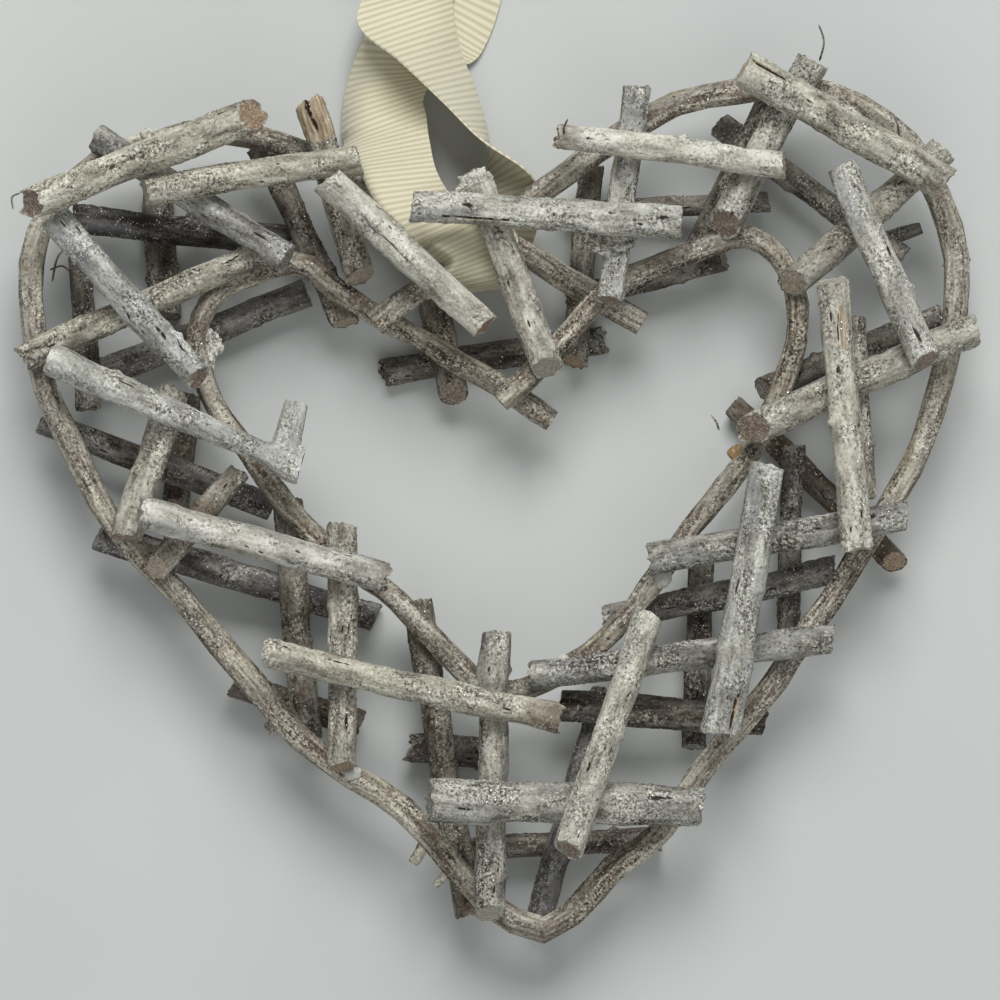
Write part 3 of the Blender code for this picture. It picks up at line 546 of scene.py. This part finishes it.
def shapeBar(bar, centres, radii, upward, sideways, alongMm, look, seed, lump, marks=(),
             cool=plainCoolness):
    # puts every point of a copied blank in place round its line and writes its attributes
    share, angle, reach = barGrid(bar.data)
    length = alongMm.max()
    swell = np.array([noise.noise((x / 11, seed + 4, 0)) for x in alongMm])
    radii = radii * (1 + lump["swell"] * swell)
    across = np.sin(angle) * reach
    above = np.cos(angle) * reach
    relief = np.empty(len(share))
    crust = np.empty(len(share))
    for i, (x, y, z) in enumerate(zip(alongMm, across * radii / mm, above * radii / mm)):
        crust[i] = noise.noise((x / 6 + seed, y / 4, z / 4 + seed))
        relief[i] = (lump["lump"] * noise.noise((x / 8 + seed, y / 5, z / 5))
                     + lump["ripple"] * noise.noise((x / 7, y / 0.9 + seed, z / 0.9))
                     + (lump["grit"] + lump["crust"] * min(max(crust[i] * 2.5 + 0.4, 0), 1))
                     * noise.fractal((x / 1.1, y / 1.1, z / 1.1 + seed), 0.8, 2, 3))
    crust = smooth(crust * 2.5 + 0.4)
    relief += lump["outOfRound"] * radii / mm * np.cos(2 * angle + seed)
    finish = np.zeros((len(share), 4))
    finish[:, 3] = 1
    markTwig(marks, alongMm, angle, radii / mm, length, relief, finish)
    rim = np.minimum(alongMm, length - alongMm)
    relief -= 0.16 * smooth(1 - rim / 0.5)
    wide = radii + relief * mm * (reach > 0.5)
    # a slight bend, none at the two ends
    level = smooth(share * 5) * smooth((1 - share) * 5) * lump["bend"] * mm
    drift = np.array([(noise.noise((x / 17, seed, 1)), noise.noise((x / 17, seed, 7)))
                      for x in alongMm]) * level[:, None]
    offset = (upward * (above * wide + drift[:, 0] * 0.5)[:, None]
              + sideways * (across * wide + drift[:, 1])[:, None])
    places = centres + offset
    grain = np.column_stack([alongMm, across * radii / mm, above * radii / mm])
    data = bar.data
    data.vertices.foreach_set("co", places.ravel())
    stains = np.array([(*linear(endStains[stain]), 1) for stain in look[3:5]])
    for attribute, field, values in (
            ("grain", "vector", grain), ("seed", "value", np.full(len(share), seed)),
            ("finish", "color", finish), ("crust", "value", crust),
            ("tint", "vector", np.tile(look[:3], len(share)).astype(float)),
            ("coolness", "value", np.full(len(share), cool)),
            ("endStain", "color", stains[(share > 0.5).astype(int)])):
        data.attributes[attribute].data.foreach_set(field, values.ravel())
    data.update()


def copyBlank(blank, name, materials):
    piece = bpy.data.objects.new(name, blank.data.copy())
    piece.data.name = name
    bpy.context.scene.collection.objects.link(piece)
    for material in materials:
        piece.data.materials.append(material)
    capReach = 0.87
    places = [Vector(v.co) for v in blank.data.vertices]
    for face in piece.data.polygons:
        centre = sum((places[v] for v in face.vertices), Vector()) / len(face.vertices)
        onCap = abs(centre.z) > 0.4999 and math.hypot(centre.x, centre.y) < capReach
        face.material_index = 1 if onCap else 0
    return piece


def finishPiece(piece, slotName, *nodes):
    deselectAll()
    piece.select_set(True)
    bpy.context.view_layer.objects.active = piece
    bpy.ops.object.shade_smooth_by_angle(angle=math.radians(48))
    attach(piece, "root")
    if nodes:
        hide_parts(*nodes)


# shoots left on some twigs: share along, degrees from the twig's heading, length and thickness
shoots = {
    "top_03": (0.60, 115, 6.0, 3.0), "top_04": (0.93, 100, 11.5, 5.6),
    "front_06": (0.17, -90, 4.8, 3.6), "back_07": (0.55, 80, 7.5, 3.6),
    "back_20": (0.88, 55, 8.5, 3.0),
}
shootForm = {"sides": 36, "rings": 24, "insets": (0.15, 0.24, 0.32), "lump": 0.30, "ripple": 0.10,
        "grit": 0.05, "crust": 0.17, "outOfRound": 0.04,
             "bend": 0.0, "swell": 0.10, "collar": 0.35, "taper": 0.2}


def makeShoot(name, base, tip, thick, blank, materials, slotName, look, cool):
    # a cut side shoot: a short bar that widens into a collar where it leaves the twig
    run = np.linalg.norm(tip - base)
    heading = (tip - base) / run
    upward = np.array([0.0, 0.0, 1.0])
    upward -= heading * upward.dot(heading)
    upward /= np.linalg.norm(upward)
    piece = copyBlank(blank, name, materials)
    share = barGrid(piece.data)[0]
    radii = thick / 2 * mm * (1 + shootForm["collar"] * np.exp(-share * 5)
                              - shootForm["taper"] * share)
    centres = base + heading * (share * run)[:, None]
    shapeBar(piece, centres, radii, upward, np.cross(upward, heading), share * run / mm, look,
             chance.uniform(0, 90), shootForm, (), cool)
    finishPiece(piece, slotName)


def makeTwig(key, blank, materials, slotName):
    name = "twig_" + key
    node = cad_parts[name]
    (start, startCut), (end, endCut) = readAxis(node)
    axis = (end - start) / np.linalg.norm(end - start)
    length = np.linalg.norm(end - start)
    upward = np.array([0.0, 0.0, 1.0])
    upward -= axis * upward.dot(axis)
    upward /= np.linalg.norm(upward)
    sideways = np.cross(upward, axis)
    rows = readRadii(node, start, axis, upward, sideways, length)
    piece = copyBlank(blank, name + "_bark", materials)
    share, angle, reach = barGrid(piece.data)
    radii = np.interp(share, rows[:, 0], rows[:, 1])
    bow = (upward * np.interp(share, rows[:, 0], rows[:, 2])[:, None]
           + sideways * np.interp(share, rows[:, 0], rows[:, 3])[:, None])
    spread = (upward * (np.cos(angle) * reach * radii)[:, None]
              + sideways * (np.sin(angle) * reach * radii)[:, None])
    # each line along the bar runs from one slanted cut to the other
    leans = [math.tan(math.radians(lean)) for lean in cutLeans.get(key, (0, 0))]
    thick = radii.max()
    startCut = startCut + upward * leans[0]
    endCut = endCut + upward * leans[1]
    low = thick * leans[0] - (spread @ startCut) / axis.dot(startCut)
    high = length - thick * leans[1] - (spread @ endCut) / axis.dot(endCut)
    along = low + (high - low) * share
    seed = chance.uniform(0, 90)
    # the shears leave a slightly torn edge, and some ends are frayed into splinters
    for end, side in ((0, -1), (1, 1)):
        torn = frayedEnds.get(key, (torns["plain"],) * 2)[end]
        close = smooth(1 - np.abs(share - end) / torns["reach"]) * reach
        splinter = np.array([noise.noise((
            math.cos(a) * torns["grain"] + seed, math.sin(a) * torns["grain"], side + r * 2))
            for a, r in zip(angle, reach)])
        along += side * torn * mm * close * np.clip(splinter * torns["contrast"], -0.5,
                1) * (low < high)
    centres = start + axis * along[:, None] + bow
    look = twigLooks[key]
    cool = coolTwigs.get(key, plainCoolness)
    marks = list(look[5:])
    for _ in range(chance.randint(3, 6)):
        marks.append(("crack", chance.uniform(0.06, 0.94), chance.uniform(-75, 75),
                      chance.uniform(1.2, 4.0), chance.uniform(0.25, 0.55)))
    for _ in range(chance.randint(1, 2)):
        marks.append(("joint", chance.uniform(0.12, 0.88), chance.uniform(-180, 180), 2, 1))
    shapeBar(piece, centres, radii, upward, sideways, (along - low.min()) / mm, look, seed,
             twigForm, marks, cool)
    finishPiece(piece, slotName, name)
    if key in shoots:
        place, degrees, reachOut, thickness = shoots[key]
        aim = math.radians(degrees)
        base = start + axis * length * place
        tip = base + (axis * math.cos(aim) + sideways * math.sin(aim)) * reachOut * mm
        makeShoot(name + "_shoot", base, tip, thickness, stubBlank, materials, slotName, look, cool)


frontBark = barkMaterial("whitewashed_willow_bark", barkLook["front"], 0.32, 0.25)
shadedBark = barkMaterial("whitewashed_bark_in_shade", barkLook["shaded"], 0.32, 0.25)
hoopBark = barkMaterial("frosted_cane_bark", barkLook["hoop"], 0.16, 0.95)
sawnEnd = sawnEndMaterial()

twigBlank = roundBlank("twig_blank", twigForm)
stubBlank = roundBlank("stub_blank", shootForm)
for key in sorted(twigLooks):
    behind = "back" in key
    makeTwig(key, twigBlank, (shadedBark if behind else frontBark, sawnEnd),
             "shaded_twig" if behind else "whitewashed_twig")
print("twigs:", len(twigLooks))

# Hoops: the drawn routes, x, y in millimetres and the height in shares of the cane and its glue
hoopLooks = {
    "outer_hoop": {
        "cane": 4.8, "rings": 900, "tint": (0.68, 0.20, 0.45, "tan", "tan"),
        "route": (
            (28.5, 35.5, -0.65), (16, 43, -0.65), (4, 50.5, -0.6), (-9, 57, -0.42),
            (-20, 62, -0.1), (-30, 66.5, 0), (-40, 70, 0), (-47.5, 72.5, 0), (-58, 74, 0),
            (-70, 71.5, 0), (-80, 68, 0), (-88, 61, 0), (-92.5, 53, 0), (-94, 43, 0),
            (-93, 32, 0), (-90.5, 21, 0), (-85, 10, 0), (-78.5, -3, 0), (-71, -12, 0),
            (-64, -19, 0), (-52, -33.5, 0), (-40, -47.5, 0), (-30, -55, 0), (-20, -61, 0),
            (-12, -70, 0), (-2, -81, 0), (5, -85, 0), (9, -86, 0), (14, -83, 0), (21, -75, 0),
            (32, -66.5, 0), (41, -53, 0), (52, -40, 0), (60, -29, 0), (68, -17, 0), (76, -4, 0),
            (82, 6, 0), (88, 22, 0), (91, 36, 0), (91.5, 48, 0), (89, 58, 0), (83, 70, 0),
            (74, 78, 0), (64, 82.5, 0), (56, 83, 0), (47, 82, 0), (38, 80.5, 0), (30, 77, 0),
            (20, 70.5, 0.1), (12, 64.5, 0.3), (5, 59, 0.48), (-10, 47, 0.6), (-25, 35, 0.6))},
    "inner_hoop": {
        "cane": 4.6, "rings": 620, "tint": (0.64, 0.24, 0.55, "tan", "tan"),
        "route": (
            (10.5, 16, -0.65), (0, 23, -0.58), (-10.5, 29, -0.5), (-20.5, 35, -0.48),
            (-30.5, 40.5, -0.3), (-40, 47.5, 0), (-46, 46.5, 0), (-53, 43.5, 0), (-58.5, 40, 0),
            (-60.5, 33, 0), (-59.5, 25, 0), (-56.5, 18, 0), (-52, 12, 0), (-46, 3, 0),
            (-38, -6, 0), (-31, -12.5, 0), (-23, -18, 0), (-14, -27, 0), (-4.5, -36.5, 0),
            (-0.5, -39.5, 0), (4, -38, 0), (12, -34.5, 0), (18.5, -30, 0), (24.5, -24, 0),
            (30.5, -16.5, 0), (37.5, -6.5, 0), (44, 1.5, 0), (49, 7.5, 0), (53, 15, 0),
            (57, 24, 0), (59.5, 33, 0), (59.5, 40, 0), (57, 47.5, 0), (51.5, 52.5, 0),
            (45, 52.5, 0.05), (37, 49, 0.15), (30, 46.5, 0.3), (22.5, 42.5, 0.45), (15, 35, 0.5),
            (7, 26, 0.58), (0, 19.5, 0.62))},
}
hoopForm = {"sides": 28, "insets": (0.15, 0.5), "lump": 0.34, "ripple": 0.44, "grit": 0.08,
            "crust": 0.16, "outOfRound": 0.05, "bend": 0.0, "swell": 0.10, "glueGap": 0.3}


def smoothRoute(points, step, samples=40):
    # even points, a step apart, on the smooth curve through the given rows
    points = np.asarray(points, dtype=float)
    padded = np.vstack([2 * points[0] - points[1], points, 2 * points[-1] - points[-2]])
    share = np.linspace(0, 1, samples, endpoint=False)[:, None]
    runs = [0.5 * (2 * b + (c - a) * share + (2 * a - 5 * b + 4 * c - d) * share ** 2
                   + (3 * b - a - 3 * c + d) * share ** 3)
            for a, b, c, d in zip(padded, padded[1:], padded[2:], padded[3:])]
    dense = np.vstack(runs + [points[-1:]])
    lengths = np.linalg.norm(np.diff(dense[:, :3], axis=0), axis=1)
    along = np.concatenate([[0], np.cumsum(lengths)])
    wanted = np.linspace(0, along[-1], max(2, int(round(along[-1] / step)) + 1))
    return np.column_stack([np.interp(wanted, along, column) for column in dense.T])


def makeHoop(name):
    look = hoopLooks[name]
    cane = look["cane"]
    drawn = np.array(look["route"], dtype=float)
    drawn[:, 2] *= cane + hoopForm["glueGap"]
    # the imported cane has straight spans, so the smooth one is made through its joints
    joints = smoothRoute(drawn, 8.5)
    line = smoothRoute(joints, 0.5)
    line = np.array([onTable(*row) for row in line])
    heads = np.gradient(line, axis=0)
    heads /= np.linalg.norm(heads, axis=1)[:, None]
    upward = np.array([0.0, 0.0, 1.0]) - heads * heads[:, 2:3]
    upward /= np.linalg.norm(upward, axis=1)[:, None]
    sideways = np.cross(upward, heads)
    blank = roundBlank(name + "_blank", hoopForm, look["rings"])
    piece = copyBlank(blank, name + "_bark", (hoopBark, sawnEnd))
    bpy.data.objects.remove(blank)
    share = barGrid(piece.data)[0]
    spot = share * (len(line) - 1)
    pick = [np.column_stack([np.interp(spot, np.arange(len(line)), column) for column in rows.T])
            for rows in (line, upward, sideways)]
    length = (len(line) - 1) * 0.5
    radii = np.full(len(share), cane / 2 * 0.97 * mm)
    shapeBar(piece, pick[0], radii, pick[1], pick[2], share * length, look["tint"],
             chance.uniform(0, 90), hoopForm)
    finishPiece(piece, "hoop_bark", name)


for name in hoopLooks:
    makeHoop(name)
print("hoops done")

# Loose ends on the hoops: name, base and tip in drawn millimetres from the hoop plane, thickness
hoopStubs = (
    ("hoop_spur_upper", (-14.5, -68, -1), (-17.5, -72.6, -1.5), 2.6),
    ("hoop_spur_lower", (-9.5, -73.5, -1), (-13, -77, -1.5), 2.0),
    ("hoop_spur_left", (-41, -42, -3), (-46.4, -46, -4.5), 3.6),
    ("hoop_spur_right", (89, 46, -1), (94.2, 48.6, -0.5), 2.0),
)
for name, base, tip, thick in hoopStubs:
    makeShoot(name, np.array(onTable(*base)), np.array(onTable(*tip)), thick, stubBlank,
              (hoopBark, sawnEnd), "hoop_bark", hoopLooks["outer_hoop"]["tint"], plainCoolness)
for blank in (twigBlank, stubBlank):
    bpy.data.objects.remove(blank)


def topAt(x, y):
    # height of the uppermost surface over a drawn place, from the finished pieces
    bpy.context.view_layer.update()
    above = Vector(onTable(x, y, 60))
    found, spot, _, _, _, _ = bpy.context.scene.ray_cast(
        bpy.context.evaluated_depsgraph_get(), above, Vector((0, 0, -1)), distance=0.2)
    return spot if found else Vector(onTable(x, y, 0))


def glueMaterial(name, colour, clear):
    # hot-melt glue set in a drop: waxy, half clear, glossy, with tiny bubbles
    material, tree, shader, add = newMaterial(name)
    coords = add("TexCoord")
    bubbles = add("TexNoise", {"Scale": 900.0, "Detail": 2}, {"Vector": coords.outputs["Object"]})
    skin = add("Bump", {"Strength": 0.3, "Distance": 0.1 * mm}, {"Height": bubbles})
    tree.links.new(skin.outputs[0], shader.inputs["Normal"])
    shader.inputs["Base Color"].default_value = (*linear(colour), 1)
    shader.inputs["Roughness"].default_value = 0.22
    shader.inputs["IOR"].default_value = 1.48
    shader.inputs["Transmission Weight"].default_value = clear
    return material


# Glue drops and gritty lumps: drawn x and y, length, width and height in millimetres, heading
glueDrops = {
    "amber_drop": (47.4, 9.6, 3.8, 3.0, 1.8, 30, "amber"),
    "milky_drop": (32.4, -16, 4.4, 3.2, 2.0, 75, "milky"),
    "pale_dot": (12.2, -32.4, 2.4, 2.0, 1.2, 0, "milky"),
    "waxy_drop": (-29.6, -55.2, 3.6, 2.6, 1.8, 20, "milky"),
    "white_blob": (28, 56.4, 3.8, 2.8, 1.2, 10, "milky"),
    "gritty_lump": (22.6, 51.0, 9.5, 5.2, 3.6, 8, "grit"),
    "gritty_patch": (-58.2, 30.4, 6.2, 4.6, 2.4, 70, "grit"),
    "gritty_cap": (-5.2, 62.4, 6.4, 5.0, 2.6, 15, "grit"),
}


def makeDrop(name, materials):
    x, y, longest, widest, tall, heading, kind = glueDrops[name]
    spot = topAt(x, y)
    deselectAll()
    bpy.ops.mesh.primitive_ico_sphere_add(subdivisions=5, radius=0.5)
    drop = bpy.context.object
    drop.name = name
    seed = chance.uniform(0, 90)
    turned = Matrix.Rotation(math.radians(heading), 3, "Z")
    layers = drop.data.attributes
    for attribute, value in (("seed", seed), ("crust", 1.0), ("coolness", 0.5)):
        layers.new(attribute, "FLOAT", "POINT").data.foreach_set(
            "value", np.full(len(drop.data.vertices), value))
    layers.new("grain", "FLOAT_VECTOR", "POINT")
    layers.new("tint", "FLOAT_VECTOR", "POINT")
    rough = 0.5 if kind == "grit" else 0.16
    for vertex, own, paint in zip(drop.data.vertices, layers["grain"].data, layers["tint"].data):
        place = vertex.co.copy()
        swell = 1 + rough * noise.fractal(place * 3.2 + Vector((seed, 0, 0)), 0.8, 2, 4)
        place = Vector((place.x * longest, place.y * widest, place.z * tall)) * swell
        own.vector = place
        paint.vector = (0.78, 0.05, 0.5)
        vertex.co = spot + turned @ place * mm
    drop.data.materials.append(materials[kind])
    finishPiece(drop, "whitewashed_twig")


dropMaterials = {"amber": glueMaterial("hot_melt_glue_amber", "#B39266", 0.3),
                 "milky": glueMaterial("hot_melt_glue_milky", "#DDDDD2", 0.25),
                 "grit": frontBark}
for name in glueDrops:
    makeDrop(name, dropMaterials)

# Torn bark fibres: drawn start, middle and end with heights from the hoop plane
fibres = (
    ((-89.5, 43.5, 4), (-88.4, 48, 6), (-86.2, 50.3, 7)),
    ((-90, 46, 2), (-87.5, 46.5, 5), (-85.5, 45, 6)),
    ((13, 71.6, 13), (12.6, 73, 15), (13.4, 75, 16)),
    ((63.8, 87.4, 8), (64.6, 91, 10), (63.6, 94.5, 10)),
    ((79.8, 72, 6), (79.4, 74.5, 8), (78.6, 76.2, 9)), ((44, 14.4, -6), (43.4, 16, -5), (42.4,
    17.4, -5)),
    ((-96, 61, 6), (-97.4, 60, 8), (-97.2, 57.6, 8)), ((21.2, 69.6, 2), (20, 71.4, 4), (18.2,
    71.8, 5)),
)
fibreForm = {"sides": 8, "rings": 16, "insets": (0.5,), "lump": 0, "ripple": 0, "grit": 0,
        "crust": 0,
             "outOfRound": 0, "bend": 0, "swell": 0.2, "radius": 0.24, "taper": 0.05, "step": 0.25,
             "tint": (0.3, 0.1, 0.4, "tan", "tan")}
fibreBlank = roundBlank("fibre_blank", fibreForm)
for number, knots in enumerate(fibres, 1):
    line = np.array([onTable(*row) for row in smoothRoute(knots, fibreForm["step"])])
    fibre = copyBlank(fibreBlank, "torn_fibre_%d" % number, (hoopBark, sawnEnd))
    share = barGrid(fibre.data)[0]
    spot = share * (len(line) - 1)
    centres = np.column_stack([np.interp(spot, np.arange(len(line)), k) for k in line.T])
    heading = (line[-1] - line[0]) / np.linalg.norm(line[-1] - line[0])
    upward = np.array([0.0, 0.0, 1.0]) - heading * heading[2]
    upward /= np.linalg.norm(upward)
    radii = (fibreForm["radius"] - fibreForm["taper"] * share) * mm
    shapeBar(fibre, centres, radii, upward, np.cross(upward, heading),
             share * len(line) * fibreForm["step"], fibreForm["tint"], number, fibreForm)
    finishPiece(fibre, "hoop_bark")
bpy.data.objects.remove(fibreBlank)
print("drops and fibres:", len(glueDrops), len(fibres))

# Ribbon: x and y in drawn millimetres and height over the table, bearing of the ribs, how far the
# right selvedge turns down, how far the left part is bent under, where across the strip that bend
# lies and over what reach, and which place across the strip the point belongs to
ribbonLook = {
    "width": 22.0, "thickness": 0.42, "ribPitch": 1.35, "ribHeight": 0.07, "columns": 36,
    "rowsPerRib": 5, "lapHeight": 1.4,
    "stations": (
        (-11, 123, 1.1, 0, 0, 0, -3, 6, 0), (-11, 115, 1.1, 0, 0, 0, -3, 6, 0),
        (-10, 107, 1.5, -18, 4, 0, -3, 6, 0), (-13, 97, 3.2, -30, 12, 15, -3, 6, 0),
        (-20.5, 88, 6.5, 0, 16, 60, -3, 6, 0), (-15.6, 80.5, 9.5, 20, 6, 80, -3, 6, 11),
        (-14.2, 72.5, 16, 12, 6, 68, -3, 5, 11), (-12.7, 65.6, 21.8, 7, 10, 120, -3.5, 3, 11),
        (-9.4, 60.2, 21.6, 14, 26, 104, -4, 1.6, 11), (-5.4, 56.6, 22.4, 25, 22, 78, -4.2, 1.2, 11),
        (-13.4, 50.8, 28.4, 28, 22, 84, -4.5, 1.0, -4.5), (-9, 47.6, 26.4, 24, 30, 96, -4.5, 1.0,
        -4.5),
        (-7.6, 44.3, 24, 16, 14, 50, -4.5, 2, 0), (-6.6, 42.4, 20.5, 9, 4, 5, -3, 4, 0),
        (-6.2, 41.9, 15, 9, 6, 0, -3, 4, 0), (-5.6, 43.2, 10, 4, 14, 0, -3, 6, 0),
        (-5, 50, 8.6, -5, 21, 0, -3, 6, 0), (-2.5, 58, 9, 5, -14, 0, -3, 6, 0),
        (0.3, 65, 11.2, 20, -66, 0, -3, 6, 0), (-3, 72.3, 12, 25, -94, 0, -3, 6, 0),
        (-8, 81.2, 12.4, 25, -110, 0, -3, 6, 0), (-14.6, 91.2, 12, 25, -127, 0, -3, 6, 0),
        (-19, 100.5, 8, 20, -160, 0, -3, 6, 0), (-13, 110, 4.6, 5, -176, 0, -3, 6, 0),
        (-11, 117, 3.7, 0, -180, 0, -3, 6, 0), (-11, 123, 3.3, 0, -180, 0, -3, 6, 0)),
    "end": {"from": 126.4, "far": 164.0, "foldSteps": 12, "lapStart": 137.0, "lapEnd": 123.3},
}


def ribbonRows(rows):
    # every point across the strip for each row, bent over its ridge, with its width kept
    spots = np.linspace(-0.5, 0.5, ribbonLook["columns"] + 1) * ribbonLook["width"]
    bearing, turn, bend = (np.radians(rows[:, k])[:, None] for k in (3, 4, 5))
    ridge, reach = rows[:, 6:7], np.maximum(rows[:, 7:8], 0.8)
    dip = turn - bend * smooth((ridge + reach - spots) / (2 * reach))
    slopes = np.stack([np.cos(dip) * np.cos(bearing), np.cos(dip) * np.sin(bearing), -np.sin(dip)],
                      axis=2)
    steps = (slopes[:, 1:] + slopes[:, :-1]) / 2 * (spots[1] - spots[0])
    laid = np.concatenate([np.zeros((len(rows), 1, 3)), np.cumsum(steps, axis=1)], axis=1)
    held = np.array([[np.interp(row[8], spots, line[:, k]) for k in range(3)]
                     for row, line in zip(rows, laid)])
    return laid + (rows[:, :3] - held)[:, None, :]


def ribbonRoute():
    look = ribbonLook
    step = look["ribPitch"] / look["rowsPerRib"]
    rows = np.array(look["stations"], dtype=float)
    rows[:, 0] += stand["middle"][0]
    rows[:, 1] += stand["middle"][1]
    # straight end on the table, folded over and back to the lap
    end = look["end"]
    x, shift = rows[-1][0], stand["middle"][1]
    upper, lower = rows[-1][2], rows[0][2]
    half = (upper - lower) / 2
    back = [(end["from"], upper), (end["far"], upper)]
    for k in range(1, end["foldSteps"]):
        angle = math.pi * k / end["foldSteps"]
        back.append((end["far"] + half * math.sin(angle), lower + half + half * math.cos(angle)))
    back += [(end["far"], lower), (end["lapStart"] + 3.4, lower),
             (end["lapStart"], lower + look["lapHeight"]), (end["lapEnd"],
             lower + look["lapHeight"])]
    tail = np.array([(x, y + shift, z, *rows[-1][3:]) for y, z in back])
    curved = smoothRoute(rows, step)
    route = np.vstack([curved, tail])
    # rows an even step apart along the middle of the strip, so that the ribs keep their pitch
    middle = ribbonRows(route)[:, look["columns"] // 2]
    along = np.concatenate([[0], np.cumsum(np.linalg.norm(np.diff(middle, axis=0), axis=1))])
    wanted = np.arange(0, along[-1], step)
    return np.column_stack([np.interp(wanted, along, column) for column in route.T]), wanted


def makeRibbon():
    look = ribbonLook
    rows, along = ribbonRoute()
    points = ribbonRows(rows)
    facing = np.cross(np.gradient(points, axis=1), np.gradient(points, axis=0))
    facing /= np.linalg.norm(facing, axis=2)[:, :, None]
    deselectAll()
    bpy.ops.mesh.primitive_grid_add(x_subdivisions=look["columns"], y_subdivisions=len(rows) - 1,
                                    size=1)
    ribbon = bpy.context.object
    ribbon.name = "grosgrain_strip"
    data = ribbon.data
    places = np.empty(len(data.vertices) * 3)
    data.vertices.foreach_get("co", places)
    places = places.reshape(-1, 3)
    row = np.rint((places[:, 1] + 0.5) * (len(rows) - 1)).astype(int)
    column = np.rint((places[:, 0] + 0.5) * look["columns"]).astype(int)
    across = places[:, 0] * 2
    lift = look["ribHeight"] * (0.5 + 0.5 * np.cos(2 * math.pi * along[row] / look["ribPitch"]))
    lift = np.where(np.abs(across) > 0.95, look["ribHeight"] * 0.9, lift)
    placed = points[row, column] + facing[row, column] * lift[:, None]
    data.vertices.foreach_set("co", (placed * mm).ravel())
    weave = data.attributes.new("weave", "FLOAT_VECTOR", "POINT")
    weave.data.foreach_set("vector", np.column_stack([
        across * look["width"] / 2, along[row], np.zeros(len(row))]).ravel())
    data.update()
    cloth = ribbon.modifiers.new("cloth", "SOLIDIFY")
    cloth.thickness = look["thickness"] * mm
    cloth.offset = 0
    bpy.ops.object.modifier_apply(modifier=cloth.name)
    data.materials.append(ribbonMaterial())
    finishPiece(ribbon, "grosgrain_ribbon", "hanging_ribbon")
    print("ribbon length mm:", round(along[-1], 1))


makeRibbon()

# Table, light and camera
studio = {"fieldWidth": 0.2, "distance": 2.0, "tilt": 3.0}


def makeStudio():
    deselectAll()
    bpy.ops.mesh.primitive_plane_add(size=6, location=(0, 0, 0))
    floor = bpy.context.object
    floor.name = "table_top"
    material, tree, shader, add = newMaterial("satin_white_laminate")
    # pale laminate: nearly even, with a faint cloudiness over a few centimetres and a soft gloss
    coords = add("TexCoord")
    cloud = add("TexNoise", {"Scale": 9.0, "Detail": 2},
                    {"Vector": coords.outputs["Object"]})
    tone = add("ValToRGB", links={0: cloud}, stops=(
        (0.35, "#C6C9C7"), (0.65, "#CDD0CD")))
    tree.links.new(tone.outputs[0], shader.inputs["Base Color"])
    shader.inputs["Roughness"].default_value = 0.38
    floor.data.materials.append(material)
    for name, place, size, power, aim in (
            ("window_light", (0.10, 1.5, 2.1), 1.5, 52.0, (0, -0.03, 0)),
            ("fill_light", (0.4, -1.3, 2.0), 2.2, 11.5, (0, -0.04, 0))):
        light = bpy.data.lights.new(name, "AREA")
        light.shape = "DISK"
        light.size = size
        light.energy = power
        lamp = bpy.data.objects.new(name, light)
        lamp.location = place
        lamp.rotation_euler = (Vector(aim) - Vector(place)).to_track_quat("-Z", "Y").to_euler()
        bpy.context.scene.collection.objects.link(lamp)
    world = bpy.data.worlds.new("soft_room")
    world.use_nodes = True
    world.node_tree.nodes["Background"].inputs[0].default_value = (*linear("#EDF1F2"), 1)
    world.node_tree.nodes["Background"].inputs[1].default_value = 0.285
    bpy.context.scene.world = world
    bpy.context.scene.view_settings.view_transform = "Standard"
    eye = bpy.data.cameras.new("overhead_camera")
    eye.sensor_width = 36
    eye.lens = 36 * studio["distance"] / studio["fieldWidth"]
    eye.clip_start = 0.01
    camera = bpy.data.objects.new("overhead_camera", eye)
    bpy.context.scene.collection.objects.link(camera)
    target = Vector(onTable(0, 0, 0))
    lean = math.radians(studio["tilt"])
    camera.location = target + studio["distance"] * Vector((0, -math.sin(lean), math.cos(lean)))
    camera.rotation_euler = (lean, 0, 0)
    bpy.context.scene.camera = camera


makeStudio()
print("studio set")
